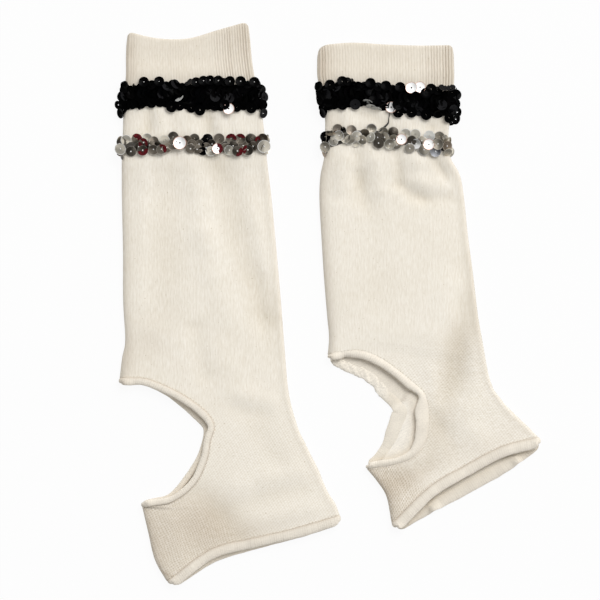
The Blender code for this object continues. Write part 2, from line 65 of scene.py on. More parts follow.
LEFT_SECTIONS = [
    #       part    left_x left_y right_x right_y bow_1 bow_2 bow_3 hem  lift gap
    Section("leg", 126.6, 33.0, 249.6, 22.6, 9.4, 12.2, 6.2, 0.0, 0.0, 1.3),
    Section("leg", 125.9, 56.0, 251.6, 54.0, 3.0, 4.0, 2.0, 0.0, 0.6, 1.3),
    Section("leg", 125.9, 76.0, 254.6, 76.0, 1.0, 1.0, 0.5, 0.0, 1.9, 1.3),
    Section("leg", 124.3, 96.0, 258.8, 96.0, 0.0, 0.0, 0.0, 0.0, 1.9, 1.3),
    Section("leg", 123.4, 119.0, 262.8, 119.0, 0.0, 0.0, 0.0, 0.0, 1.9, 1.3),
    Section("leg", 122.7, 145.0, 265.6, 145.0, 0.0, 0.0, 0.0, 0.0, 1.9, 1.3),
    Section("leg", 122.0, 160.0, 267.1, 160.0, 0.0, 0.0, 0.0, 0.0, 1.9, 1.3),
    Section("leg", 121.9, 176.0, 268.9, 176.0, 0.0, 0.0, 0.0, 0.0, 0.9, 1.4),
    Section("leg", 122.0, 199.0, 271.7, 199.0, 0.0, 0.0, 0.0, 0.0, 0.0, 1.5),
    Section("leg", 123.1, 253.0, 276.8, 253.0, 0.0, 0.0, 0.0, 0.0, 0.0, 1.5),
    Section("leg", 123.2, 300.0, 280.9, 300.0, 0.0, 0.0, 0.0, 0.0, 0.0, 1.5),
    Section("leg", 125.3, 340.0, 284.0, 340.0, 0.0, 0.0, 0.0, 0.0, 0.0, 1.5),
    Section("leg", 122.2, 358.0, 285.4, 357.0, -2.0, -2.0, -1.0, 0.0, 0.0, 1.5),
    Section("hole", 119.8, 378.3, 286.6, 372.0, -5.0, -4.0, -2.0, 7.4, 0.0, 1.5),
    Section("hole", 143.6, 377.8, 287.6, 384.0, 0.0, 0.0, 0.0, 7.4, 0.0, 1.5),
    Section("hole", 165.3, 385.4, 289.4, 396.0, 0.0, 0.0, 0.0, 7.3, 0.0, 1.5),
    Section("hole", 185.7, 395.9, 292.0, 408.0, 0.0, 0.0, 0.0, 7.5, 0.0, 1.5),
    Section("hole", 205.3, 410.6, 295.7, 420.5, 0.0, 0.0, 0.0, 7.6, 0.0, 1.5),
    Section("hole", 214.6, 425.4, 299.8, 432.5, 0.0, 0.0, 0.0, 6.8, 0.0, 1.5),
    Section("hole", 210.6, 441.0, 305.2, 443.0, 0.0, 0.0, 0.0, 6.8, 0.0, 1.5),
    Section("hole", 207.1, 460.0, 310.0, 453.0, 0.0, 0.0, 0.0, 6.8, 0.0, 1.5),
    Section("hole", 195.4, 484.0, 315.2, 463.0, 0.0, 0.0, 0.0, 6.6, 0.0, 1.5),
    Section("hole", 172.7, 501.8, 319.6, 472.0, 2.0, 2.0, 1.0, 6.2, 0.0, 1.5),
    Section("strap", 142.4, 506.6, 323.2, 481.5, 7.8, 6.6, 3.3, 6.6, 0.0, 1.5),
    Section("strap", 148.2, 531.6, 329.0, 494.0, 0.0, 0.0, 0.0, 0.0, 0.0, 1.6),
    Section("strap", 154.8, 559.4, 335.4, 503.6, -4.0, -2.0, 0.0, 0.0, 0.0, 1.6),
    Section("strap", 166.3, 581.6, 339.4, 514.5, -15.4, -10.4, -3.8, 0.0, 0.0, 1.6),
]
LEFT_UNDER = {
    #       left_dx left_dy bow_1 bow_2 bow_3
    15: Under(-0.5, 1.0, 0.0, 0.0, 0.0),
    16: Under(-2.0, 3.4, 0.0, 0.0, 0.0),
    17: Under(-4.5, 4.0, 0.0, 0.0, 0.0),
    18: Under(-5.0, 1.0, 0.0, 0.0, 0.0),
    19: Under(-1.5, 0.0, 0.0, 0.0, 0.0),
    20: Under(-4.0, -1.0, 0.0, 0.0, 0.0),
    21: Under(-5.0, -5.0, 0.0, 0.0, 0.0),
    22: Under(-1.0, -2.4, 2.0, 2.0, 1.0),
    25: Under(0.0, 0.0, -3.0, -1.0, 0.0),
    26: Under(0.0, 0.0, -11.0, -8.4, -3.0),
}
LEFT_CORNER = Corner(7.0, 0.055, 8.5, 0.070)

RIGHT_SECTIONS = [
    #       part    left_x left_y right_x right_y bow_1 bow_2 bow_3 hem  lift gap
    Section("leg", 317.0, 47.2, 454.0, 46.6, -2.8, -0.8, 0.4, 0.0, 0.0, 1.3),
    Section("leg", 317.0, 62.0, 454.0, 62.0, -1.0, 0.0, 0.0, 0.0, 0.8, 1.3),
    Section("leg", 317.3, 78.0, 454.2, 78.0, 0.0, 0.0, 0.0, 0.0, 1.9, 1.3),
    Section("leg", 321.6, 98.0, 452.6, 102.0, 0.0, 0.0, 0.0, 0.0, 1.9, 1.3),
    Section("leg", 324.8, 119.0, 449.6, 122.0, 0.0, 0.0, 0.0, 0.0, 1.9, 1.3),
    Section("leg", 325.0, 132.0, 448.3, 135.0, 0.0, 0.0, 0.0, 0.0, 1.9, 1.3),
    Section("leg", 325.0, 145.0, 448.6, 147.0, 0.0, 0.0, 0.0, 0.0, 1.9, 1.3),
    Section("leg", 323.8, 159.0, 451.2, 160.0, 0.0, 0.0, 0.0, 0.0, 1.9, 1.3),
    Section("leg", 320.2, 177.0, 460.0, 176.0, 0.0, 0.0, 0.0, 0.0, 0.7, 1.4),
    Section("leg", 319.4, 200.0, 464.2, 200.0, 0.0, 0.0, 0.0, 0.0, 0.0, 1.5),
    Section("leg", 321.2, 234.0, 467.7, 234.0, 0.0, 0.0, 0.0, 0.0, 0.0, 1.5),
    Section("leg", 323.8, 276.0, 473.2, 276.0, 0.0, 0.0, 0.0, 0.0, 0.0, 1.5),
    Section("leg", 327.1, 316.0, 478.0, 316.0, 0.0, 0.0, 0.0, 0.0, 0.0, 1.5),
    Section("leg", 328.9, 337.0, 481.8, 338.0, -6.0, -5.0, -2.0, 0.0, 0.0, 1.5),
    Section("hole", 327.6, 354.8, 484.8, 355.0, -11.5, -9.5, -4.0, 6.4, 0.0, 1.4),
    Section("hole", 349.9, 350.2, 485.8, 361.0, -6.0, -5.0, -2.0, 7.4, 0.0, 1.4),
    Section("hole", 365.8, 351.8, 487.0, 367.0, -3.0, -2.5, -1.0, 8.0, 0.0, 1.4),
    Section("hole", 381.7, 358.7, 488.3, 373.0, -1.0, -1.0, 0.0, 8.2, 0.0, 1.4),
    Section("hole", 397.7, 369.9, 490.0, 379.0, 0.0, 0.0, 0.0, 7.8, 0.0, 1.4),
    Section("hole", 412.0, 381.6, 492.2, 384.5, 0.0, 0.0, 0.0, 8.2, 0.0, 1.4),
    Section("hole", 424.0, 393.0, 494.4, 389.8, 0.0, 0.0, 0.0, 6.6, 0.0, 1.4),
    Section("hole", 428.4, 409.0, 498.0, 394.8, 0.0, 0.0, 0.0, 14.2, 0.0, 1.4),
    Section("hole", 428.4, 426.0, 501.9, 399.6, 0.0, 0.0, 0.0, 12.9, 0.0, 1.4),
    Section("hole", 424.4, 443.5, 505.5, 404.0, 1.0, 1.0, 0.5, 11.2, 0.0, 1.4),
    Section("hole", 413.0, 457.4, 509.3, 408.2, 2.2, 1.8, 1.2, 8.0, 0.0, 1.4),
    Section("hole", 395.6, 464.4, 513.2, 412.2, 5.6, 4.4, 2.4, 6.8, 0.0, 1.4),
    Section("strap", 366.8, 468.0, 517.4, 416.2, 17.2, 14.0, 7.2, 6.6, 0.0, 1.4),
    Section("strap", 377.2, 480.6, 522.4, 421.2, 12.5, 10.5, 5.5, 0.0, 0.0, 1.5),
    Section("strap", 386.6, 496.5, 527.4, 425.8, 1.5, 1.5, 0.5, 0.0, 0.0, 1.6),
    Section("strap", 391.4, 523.4, 537.2, 436.6, -14.4, -14.7, -12.0, 0.0, 0.0, 1.9),
]
RIGHT_UNDER = {
    #       left_dx left_dy bow_1 bow_2 bow_3
    15: Under(-5.0, 12.8, 0.0, 0.0, 0.0),
    16: Under(-9.0, 16.2, 0.0, 0.0, 0.0),
    17: Under(-13.6, 13.8, 0.0, 0.0, 0.0),
    18: Under(-18.8, 12.0, 0.0, 0.0, 0.0),
    19: Under(-25.0, 10.0, 0.0, 0.0, 0.0),
    20: Under(-24.6, 9.0, 0.0, 0.0, 0.0),
    21: Under(-22.8, 2.5, 0.0, 0.0, 0.0),
    22: Under(-26.8, -3.0, 1.0, 1.0, 0.5),
    23: Under(-28.8, -7.0, 2.0, 2.0, 1.0),
    24: Under(-24.0, -10.0, 4.0, 4.0, 2.0),
    25: Under(-16.0, -5.2, 7.0, 6.0, 3.0),
    26: Under(0.0, 0.0, 11.0, 10.0, 6.0),
    27: Under(0.0, 0.0, 11.0, 11.0, 8.0),
    28: Under(0.0, 0.0, 8.0, 10.0, 9.0),
    29: Under(0.0, 0.0, 0.8, 3.4, 4.4),
}
RIGHT_CORNER = Corner(10.5, 0.085, 7.0, 0.050)

LEFT_TRIMS = [
    Trim("left_black_trim", 99.0, 93.5, 96.0, 95.0, 97.0, 16.5, 5.2, 3.8),
    Trim("left_silver_trim", 146.5, 145.5, 144.0, 146.0, 144.5, 10.5, 4.2, 2.2),
]
RIGHT_TRIMS = [
    Trim("right_black_trim", 99.0, 94.5, 97.5, 101.5, 105.0, 17.5, 2.6, 4.2),
    Trim("right_silver_trim", 143.5, 135.5, 137.0, 143.0, 147.0, 11.0, 2.4, 1.3),
]

# A crease or a ridge runs from (x1, y1) to (x2, y2) on the sheet. width is in sheet units, and
# height in millimetres, below nought for a crease.
LEFT_CREASES = [
    Crease(170, 180, 163, 330, 20, -0.60),
    Crease(194, 176, 206, 240, 13, 0.75),
    Crease(206, 240, 226, 320, 14, 0.55),
    Crease(217, 166, 264, 316, 16, -0.98),
    Crease(252, 270, 272, 352, 12, -0.30),
    Crease(246, 186, 268, 268, 10, 0.45),
    Crease(143, 176, 139, 300, 10, 0.40),
    Crease(150, 112, 148, 132, 6, -1.15),
    Crease(160, 114, 164, 134, 7, 0.60),
    Crease(207, 114, 211, 136, 8, -1.20),
    Crease(219, 118, 224, 136, 7, 0.55),
    Crease(234, 116, 240, 132, 6, 0.30),
    Crease(184, 118, 190, 134, 9, 0.40),
    Crease(196, 330, 204, 376, 10, -0.50),
    Crease(218, 350, 246, 396, 14, 0.35),
    Crease(232, 392, 270, 400, 9, 0.35),
    Crease(236, 408, 264, 416, 9, -0.35),
    Crease(250, 420, 276, 462, 13, -0.35),
    Crease(200, 494, 240, 536, 14, -0.70),
    Crease(226, 508, 300, 488, 12, -0.45),
    Crease(240, 486, 300, 472, 12, 0.45),
    Crease(262, 520, 318, 506, 9, 0.40),
    Crease(168, 520, 186, 566, 12, 0.40),
    Crease(150, 330, 176, 344, 12, 0.35),
]
RIGHT_CREASES = [
    Crease(357, 158, 360, 186, 8, -0.95),
    Crease(360, 182, 368, 208, 9, -0.55),
    Crease(344, 160, 340, 196, 10, 0.80),
    Crease(374, 158, 380, 190, 8, 0.65),
    Crease(397, 154, 400, 184, 6, -1.00),
    Crease(432, 156, 446, 176, 7, -1.10),
    Crease(414, 158, 420, 178, 7, 0.60),
    Crease(450, 162, 452, 178, 6, 0.40),
    Crease(397, 184, 424, 199, 7, -0.70),
    Crease(412, 197, 460, 200, 7, -0.55),
    Crease(414, 182, 444, 187, 7, 0.50),
    Crease(330, 196, 362, 200, 8, -0.45),
    Crease(332, 210, 336, 300, 12, 0.35),
    Crease(372, 230, 380, 300, 16, -0.25),
    Crease(479, 262, 452, 392, 17, -0.92),
    Crease(458, 350, 430, 446, 14, -0.85),
    Crease(450, 290, 430, 350, 14, 0.45),
    Crease(474, 350, 470, 404, 12, 0.60),
    Crease(430, 372, 436, 404, 8, 0.50),
    Crease(452, 400, 478, 440, 12, 0.55),
    Crease(432, 410, 452, 448, 9, -0.40),
    Crease(388, 488, 424, 464, 11, -0.60),
    Crease(400, 510, 452, 478, 10, 0.45),
    Crease(345, 112, 350, 128, 6, 0.45),
    Crease(336, 116, 338, 130, 6, -0.60),
    Crease(360, 114, 374, 118, 6, -0.60),
    Crease(404, 122, 412, 136, 7, 0.50),
    Crease(430, 128, 447, 120, 6, -0.80),
    Crease(384, 124, 392, 136, 6, -0.45),
]
# The hidden layers have their own, which lift the cloth off the ground.
LEFT_BACK = [
    Crease(180, 180, 186, 320, 13, 0.45),
    Crease(226, 190, 258, 300, 12, 0.40),
    Crease(150, 200, 146, 280, 10, 0.30),
    Crease(210, 500, 250, 530, 14, 0.35),
    Crease(215, 350, 235, 400, 12, 0.35),
]
RIGHT_BACK = [
    Crease(360, 170, 372, 250, 12, 0.45),
    Crease(420, 190, 436, 290, 12, 0.40),
    Crease(396, 270, 392, 340, 11, 0.30),
    Crease(450, 330, 430, 380, 12, 0.35),
]

QUARTERS = (0.0, 0.25, 0.5, 0.75, 1.0)
ACROSS, ROUND = 70, 7  # columns across a layer and round a side fold
RIBS_ROUND = 96  # ribs all round a cuff
PER_RIB = 5


# ------------------------------------------------------------------ smooth curves through a table
def slopes(knots, values, steady):
    step = np.diff(knots)[:, None]
    rise = np.diff(values, axis=0) / step
    inner = (rise[:-1] * step[1:] + rise[1:] * step[:-1]) / (step[:-1] + step[1:])
    if steady:
        inner = np.where(rise[:-1] * rise[1:] > 0, inner, 0.0)
    return np.vstack([rise[:1], inner, rise[-1:]])


class Curve:
    """A smooth curve through values at knots: one row of values for each x."""

    def __init__(self, knots, values, steady=False):
        self.knots = np.asarray(knots, float)
        self.values = np.asarray(values, float).reshape(len(self.knots), -1)
        self.slopes = None if len(self.knots) == 2 else slopes(self.knots, self.values, steady)

    def __call__(self, x):
        knots, values, m = self.knots, self.values, self.slopes
        x = np.atleast_1d(np.asarray(x, float))
        if m is None:
            f = ((x - knots[0]) / (knots[1] - knots[0]))[:, None]
            return values[0] * (1 - f) + values[1] * f
        i = np.clip(np.searchsorted(knots, x) - 1, 0, len(knots) - 2)
        h = (knots[i + 1] - knots[i])[:, None]
        f = (x - knots[i])[:, None] / h
        g = f * f
        c = g * f
        return (
            values[i] * (2 * c - 3 * g + 1)
            + m[i] * h * (c - 2 * g + f)
            + values[i + 1] * (3 * g - 2 * c)
            + m[i + 1] * h * (c - g)
        )


def smooth(knots, values, x, steady=False):
    """The values at each x of a smooth curve through values at knots, one row for each x."""
    return Curve(knots, values, steady)(x)


def wander(x, seed, rough=1.0):
    """A smooth wandering value from -1 to 1 along x, the same every run."""
    r = np.random.default_rng(seed)
    total = np.zeros_like(np.asarray(x, float))
    for k in range(1, 6):
        total = total + math.pow(0.72, k * rough) * np.sin(
            np.asarray(x) * k * (0.8 + 0.5 * r.random()) + r.random() * 6.28
        )
    return total / 1.6


def step_up(x, low, high):
    t = np.clip((np.asarray(x, float) - low) / (high - low), 0, 1)
    return t * t * (3 - 2 * t)


class Sock:
    """The tube's middle surface, from its sections."""

    def __init__(self, name, sections, under, corner, creases, back, crown):
        self.name, self.sections, self.corner = name, sections, corner
        self.creases, self.back, self.crown = creases, back, crown
        self.count = len(sections)
        self.first_hole = [s.part for s in sections].index("hole")
        self.first_strap = [s.part for s in sections].index("strap")
        self.under = [
            under.get(i, Under(0.0, 0.0, s.bow_1, s.bow_2, s.bow_3))
            for i, s in enumerate(sections)
        ]
        self.curves = {}

    def span(self, at):
        if at <= self.first_hole:
            return 0, self.first_hole
        if at < self.first_strap:
            return self.first_hole, self.first_strap
        return self.first_strap, self.count - 1

    def is_open(self, at):
        return self.first_hole + 1e-6 < at < self.first_strap - 1e-6

    def column(self, at, *names, steady=False):
        key = (names, steady)
        if key not in self.curves:
            values = [[getattr(s, n) for n in names] for s in self.sections]
            self.curves[key] = Curve(np.arange(self.count), values, steady)
        return self.curves[key](at)[0]

    def size(self, at):
        lift, gap = self.column(at, "lift", "gap", steady=True) / 1000
        return lift, WALL + gap / 2, (WALL + gap) / 2

    def left_end(self, at, lower):
        """The left end of a layer on the sheet. Where the tube is closed that is the outline."""
        low, high = self.span(at)
        key = ("left", low, lower, self.is_open(at))
        if key in self.curves:
            return self.curves[key](at)[0]
        knots = np.arange(low, high + 1)
        ends = []
        for i in knots:
            s, u = self.sections[i], self.under[i]
            dx, dy = (u.left_dx, u.left_dy) if lower else (0.0, 0.0)
            end = np.array([s.left_x + dx, s.left_y + dy])
            if self.is_open(at) and i in (self.first_hole, self.first_strap):
                right = np.array([s.right_x, s.right_y])
                share = self.size(i)[1] / UNIT / np.linalg.norm(right - end)
                end = end * (1 - share) + right * share
                end[1] += self.bow(i, share, lower)
            ends.append(end)
        self.curves[key] = Curve(knots, ends)
        return self.curves[key](at)[0]

    def bow(self, at, share, lower):
        b = self.bows(at, lower)
        return smooth(QUARTERS, (0.0, b[0], b[1], b[2], 0.0), share)[:, 0]

    def low_share(self, at, lower):
        """The share of the width at which a layer's flat part starts."""
        half = self.size(at)[1] / UNIT
        right = self.column(at, "right_x", "right_y")
        width = np.linalg.norm(right - self.left_end(at, lower))
        return half / (width + half) if self.is_open(at) else half / width

    def tongue(self, sheet):
        """On the right sock the lower layer is rucked up beside the hole: it laps over itself along
        a line that runs down and left from (408, 395)."""
        if self.name != "right":
            return 0.0
        along = np.array([-12.0, 16.0]) / 20
        off = sheet - np.array([408.0, 395.0])
        across = off[:, 0] * 0.8 + off[:, 1] * 0.6
        run = off @ along
        rise = step_up(across, -1.2, 0.8) * np.exp(-np.maximum(across, 0) / 26)
        dip = -0.25 * np.exp(-(((across + 2.5) / 3) ** 2))
        return 0.0014 * (rise + dip) * step_up(run, -14, 2) * (1 - step_up(run, 30, 60))

    def bows(self, at, lower):
        key = ("bows", lower)
        if key not in self.curves:
            rows = self.under if lower else self.sections
            values = [(r.bow_1, r.bow_2, r.bow_3) for r in rows]
            self.curves[key] = Curve(np.arange(self.count), values)
        return self.curves[key](at)[0]

    def drop(self, at, share):
        c = self.corner
        fade = max(0.0, 1.0 - at / 1.1) ** 2
        left = np.clip(1.0 - share / c.left_share, 0, 1)
        right = np.clip(1.0 - (1.0 - share) / c.right_share, 0, 1)
        return fade * (
            c.left_drop * (1 - np.sqrt(1 - 0.985 * left**2)) + c.right_drop * (1 - np.sqrt(1 - 0.985 * right**2))
        )

    def on_sheet(self, at, share, lower=False):
        share = np.atleast_1d(np.asarray(share, float))
        left = self.left_end(at, lower)
        right = self.column(at, "right_x", "right_y")
        if self.is_open(at):
            # The row would reach further left, where the hole is cut away.
            low = self.low_share(at, lower)
            cut = left - right * low - np.array([0.0, self.bow(at, low, lower)[0]])
            left = cut / (1 - low)
        points = left[None] * (1 - share[:, None]) + right[None] * share[:, None]
        points[:, 1] += self.bow(at, share, lower) + self.drop(at, share)
        return points

    def ring(self, at, across=ACROSS, turns=ROUND):
        """One ring of the middle surface as (points in metres, sheet places, side share, layer). It
        runs over the upper layer to the right, round the right fold, back along the lower layer,
        and round the left fold where the tube is closed. layer is 1 above and 0 below."""
        lift, half, radius = self.size(at)
        closed = not self.is_open(at)
        # Towards the hole the cloth's left side is drawn down less and less.
        into = at - self.first_hole
        if closed:
            ease = 0.012 * max(0.0, 1 + into / 1.6) ** 2 if into <= 1e-6 else 0.0
        else:
            ease = 0.012 + 0.05 * into
        middle = lift + half
        places, heights, shares, layers, near = [], [], [], [], []
        for lower in (False, True):
            low = self.low_share(at, lower)
            width = half / low
            high = 1.0 - half / width
            share = low + (high - low) * np.linspace(0, 1, across)
            share = share[::-1] if lower else share
            sheet = self.on_sheet(at, share, lower)
            edge = np.minimum(1.0, 8 * (1 - share))
            if closed:
                edge = np.minimum(edge, 8 * share)
            form = folds(sheet, self.back if lower else self.creases) * edge
            if lower:
                z = np.maximum(middle - radius + form + self.tongue(sheet), WALL / 2 + 0.00002)
            else:
                away = np.minimum((1 - share) * width, share * width + ease)
                swell = 1 - np.exp(-((away / 0.012) ** 1.4))
                z = middle + radius + form + self.crown(at) * swell
            places.append(sheet)
            heights.append(z)
            shares.append(share)
            layers.append(np.full(across, 0.0 if lower else 1.0))
            # near is how much shade is painted on the cloth beside the side folds, as the light falls: full at the
            # left fold, 0.6 at the right one.
            right_way = (high - share) * width / 0.0022
            near.append(0.6 * np.exp(-(right_way**2)))
            if closed:
                left_way = (share - low) * width / 0.0026
                near[-1] = np.maximum(near[-1], np.exp(-(left_way**2)))
            if lower and not closed:
                continue
            end = 0.0 if lower else 1.0
            fold_share = low if lower else high
            here = self.on_sheet(at, fold_share, lower)[0]
            other = self.on_sheet(at, fold_share, not lower)[0]
            tip = (self.on_sheet(at, end, False)[0] + self.on_sheet(at, end, True)[0]) / 2
            way = tip - (here + other) / 2
            way = way / np.linalg.norm(way)
            k = np.arange(1, turns + 1) / (turns + 1)
            turn = math.pi * k
            angle = -math.pi / 2 - turn if lower else math.pi / 2 - turn
            centre = here[None] * (1 - k[:, None]) + other[None] * k[:, None]
            places.append(centre + way[None] * (radius * np.sin(turn) / UNIT)[:, None])
            heights.append(middle + radius * np.sin(angle))
            shares.append(np.full(turns, end))
            layers.append(k if lower else 1 - k)
            near.append(np.full(turns, 1.0 if lower else 0.6))
        places = np.vstack(places)
        z = np.concatenate(heights)
        extra = np.column_stack([np.concatenate(layers), np.concatenate(near)])
        return to_metres(places, z), places, np.concatenate(shares), extra


def folds(sheet, creases):
    height = np.zeros(len(sheet))
    for n, c in enumerate(creases):
        a, b = np.array([c.x1, c.y1], float), np.array([c.x2, c.y2], float)
        d = b - a
        along = (sheet - a) @ d / (d @ d)
        near = a + np.clip(along, 0, 1)[:, None] * d
        length = np.linalg.norm(d)
        side = np.array([-d[1], d[0]]) / length
        sway = wander(along * length / 22, 100 + n) * 0.18 * c.width
        off = sheet - near + (side * sway[:, None])
        away = np.linalg.norm(off, axis=1) / c.width
        height += c.height / 1000 * np.exp(-away * away) * (1 + 0.25 * wander(along * 5, 300 + n))
    return height


def to_metres(sheet, z):
    sheet = np.atleast_2d(sheet)
    x = (sheet[:, 0] - SHEET_X) * UNIT + SHIFT[0]
    y = (SHEET_Y - sheet[:, 1]) * UNIT + SHIFT[1]
    return np.column_stack([x, y, np.broadcast_to(z, x.shape)])


def unit(v):
    return v / np.maximum(np.linalg.norm(v, axis=-1, keepdims=True), 1e-12)


def soft_normals(points, quads):
    """Vertex normals of a quad sheet."""
    a, b, c, d = (points[quads[:, i]] for i in range(4))
    face = np.cross(c - a, d - b)
    normals = np.zeros_like(points)
    for i in range(4):
        np.add.at(normals, quads[:, i], face)
    return unit(normals)


class Shell:
    """A wall of cloth made from a middle surface: an outer and an inner sheet, with rounded rims."""

    def __init__(self):
        self.points, self.faces, self.inside = [], [], []
        self.fields = {}
        self.count = 0

    def add(self, points, faces, inside, **fields):
        base = self.count
        self.points.append(points)
        self.faces += [tuple(int(i) + base for i in f) for f in faces]
        self.inside += [inside] * len(faces)
        for key, value in fields.items():
            self.fields.setdefault(key, []).append(np.broadcast_to(value, (len(points),) + np.shape(value)[1:]).copy())
        self.count += len(points)
        return base

    def wall(self, points, quads, rims, out, fields):
        """out is how far the outer sheet stands from the middle one. rims are closed or open loops
        of vertex numbers along the free edges."""
        normals = soft_normals(points, quads)
        outer = points + normals * out[:, None]
        inner = points - normals * WALL / 2
        outer[:, 2] = np.maximum(outer[:, 2], 0.00002)
        inner[:, 2] = np.maximum(inner[:, 2], 0.00002)
        first = self.add(outer, quads, False, **fields)
        second = self.add(inner, quads[:, ::-1], True, **fields)
        for rim in rims:
            rim = np.asarray(rim)
            n = len(rim)
            ahead = unit(points[np.roll(rim, -1)] - points[np.roll(rim, 1)])
            side = unit(np.cross(ahead, normals[rim]))
            spots = [first + rim]
            middle = (outer[rim] + inner[rim]) / 2
            reach = np.linalg.norm(outer[rim] - inner[rim], axis=1) / 2
            for turn in (45, 90, 135):
                t = math.radians(turn)
                ring = middle + (normals[rim] * math.cos(t) + side * math.sin(t)) * reach[:, None]
                picked = {k: np.asarray(v)[rim] if np.ndim(v) else v for k, v in fields.items()}
                start = self.add(ring, [], False, **picked)
                spots.append(start + np.arange(n))
            spots.append(second + rim)
            for a, b in zip(spots[:-1], spots[1:]):
                for i in range(n):
                    j = (i + 1) % n
                    self.faces.append((int(a[i]), int(b[i]), int(b[j]), int(a[j])))
                    self.inside.append(False)

    def build(self, name, materials):
        points = np.vstack(self.points)
        mesh = bpy.data.meshes.new(name)
        mesh.from_pydata(points.tolist(), [], self.faces)
        for key, parts in self.fields.items():
            layer = mesh.attributes.new(key, "FLOAT", "POINT")
            layer.data.foreach_set("value", np.concatenate(parts).astype(np.float32))
        mesh.polygons.foreach_set("use_smooth", [True] * len(mesh.polygons))
        for m in materials:
            mesh.materials.append(m)
        mesh.polygons.foreach_set("material_index", [1 if i else 0 for i in self.inside])
        mesh.validate()
        obj = bpy.data.objects.new(name, mesh)
        bpy.context.scene.collection.objects.link(obj)
        fix_outward(obj)
        return obj


def fix_outward(obj):
    """Turns the whole mesh if its faces look inward."""
    mesh = obj.data
    mesh.calc_loop_triangles()
    co = np.empty(len(mesh.vertices) * 3)
    mesh.vertices.foreach_get("co", co)
    co = co.reshape(-1, 3)
    tri = np.empty(len(mesh.loop_triangles) * 3, np.int32)
    mesh.loop_triangles.foreach_get("vertices", tri)
    tri = tri.reshape(-1, 3)
    a, b, c = co[tri[:, 0]], co[tri[:, 1]], co[tri[:, 2]]
    if np.einsum("ij,ij->i", a, np.cross(b, c)).sum() < 0:
        mesh.flip_normals()


# ------------------------------------------------------------------ where the cloth is browned with wear, where shade is painted on it, and where it is ribbed
# Soft round patches on the sheet: how brown the cloth is there, from wear and from painted shade. The marked ones
# paint shade along creases and fold lines.
Patch = namedtuple("Patch", "x y wide high turn amount")
STAIN_AND_SHADE_PATCHES = [
    Patch(150, 340, 22, 24, 0, 0.22),
    Patch(176, 524, 34, 26, -20, 0.34),
    Patch(208, 520, 24, 24, -25, 0.40),
    Patch(232, 534, 50, 14, -15, 0.22),
    Patch(155, 545, 12, 32, -15, 0.28),
    Patch(128, 362, 8, 22, 0, 0.30),
    Patch(398, 484, 24, 16, -35, 0.44),
    Patch(382, 500, 14, 26, -20, 0.30),
    Patch(430, 466, 36, 12, -32, 0.24),
    Patch(380, 478, 14, 16, -30, 0.22),
    # These two paint shade along the crease down the right sock's leg and foot.
    Patch(458, 350, 20, 34, 15, 0.22),
    Patch(436, 424, 16, 26, 20, 0.20),
    Patch(500, 440, 50, 12, -30, 0.14),
    Patch(240, 34, 16, 24, 0, 0.22),
    Patch(130, 60, 9, 30, 0, 0.22),
    Patch(324, 66, 11, 24, 0, 0.34),
    Patch(438, 70, 14, 24, 0, 0.16),
    # These two are thin lines of painted shade along folds.
    Patch(401.5, 403.0, 9.5, 1.3, -53, 0.75),
    Patch(168.2, 574.2, 9.0, 1.3, 32, 0.85),
    # These two darken the knobs where the heel holes end.
    Patch(121.8, 382.0, 5.5, 4.5, 0, 0.45),
    Patch(331.0, 356.6, 5.0, 4.0, 0, 0.35),
]


def stain_and_shade(sheet):
    total = np.zeros(len(sheet))
    for p in STAIN_AND_SHADE_PATCHES:
        t = math.radians(p.turn)
        dx, dy = sheet[:, 0] - p.x, sheet[:, 1] - p.y
        u = (dx * math.cos(t) + dy * math.sin(t)) / p.wide
        v = (-dx * math.sin(t) + dy * math.cos(t)) / p.high
        total += p.amount * np.exp(-(u * u + v * v))
    return np.clip(total, 0, 1)


def areas(sock, sheet):
    """Shares of plain leg knit, slanting foot knit and strap knit at each place of the sheet."""
    x, y = sheet[:, 0], sheet[:, 1]
    if sock.name == "left":
        foot = step_up(y + 0.25 * (x - 240), 372, 440)
        strap = step_up(y - 0.55 * (x - 200), 474, 532)
    else:
        foot = step_up(y + 0.35 * (x - 430), 318, 372)
        strap = step_up(y - 0.9 * (x - 400), 446, 484)
    return foot * (1 - strap), strap


def dips(sock, sheet, layer):
    """How far the creases of the upper layer sink, in millimetres; the knit is painted darker there as shade."""
    return np.clip(-1000 * folds(sheet, sock.creases), 0, 1.5) * (layer > 0.5)


def mouth_line(edge, widths, reach, strength):
    """The outline of the hem that lies on top along an opening, on the sheet, and the way out of
    the cloth, how far in the painted shade reaches and how strong it is at each point. edge is the cloth's
    edge, run with the opening on its right."""
    along = unit(np.gradient(edge, axis=0))
    out = np.column_stack([-along[:, 1], along[:, 0]])
    return edge + out * np.asarray(widths)[:, None], out, reach, strength


def past(sheet, line, out):
    """How far past the outline of the hem on top each place is, less than 0 under it, and the
    nearest point of the outline."""
    gap = np.empty(len(sheet))
    at = np.empty(len(sheet), int)
    for start in range(0, len(sheet), 4000):
        part = sheet[start : start + 4000]
        away = part[:, None] - line[None]
        far = (away**2).sum(axis=2)
        near = far.argmin(axis=1)
        rows = np.arange(len(part))
        side = (away[rows, near] * out[near]).sum(axis=1)
        gap[start : start + 4000] = np.sqrt(far[rows, near]) * np.where(side < 0, -1, 1)
        at[start : start + 4000] = near
    return gap, at


def deep(sheet, mouths):
    """How much shade is painted on a place of the lower layer inside the tube: 1 under the hem on top, fading out
    beyond it."""
    total = np.ones(len(sheet))
    for line, out, reach, strength in mouths:
        gap, at = past(sheet, line, out)
        g = np.maximum(gap, 0) / reach[at]
        outer = np.exp(-g) * (1 - 0.55 * np.exp(-g * 3.8)) * 1.25 * strength[at]
        total = np.minimum(total, np.where(gap < 0, 0.55 * strength[at], outer))
    return total


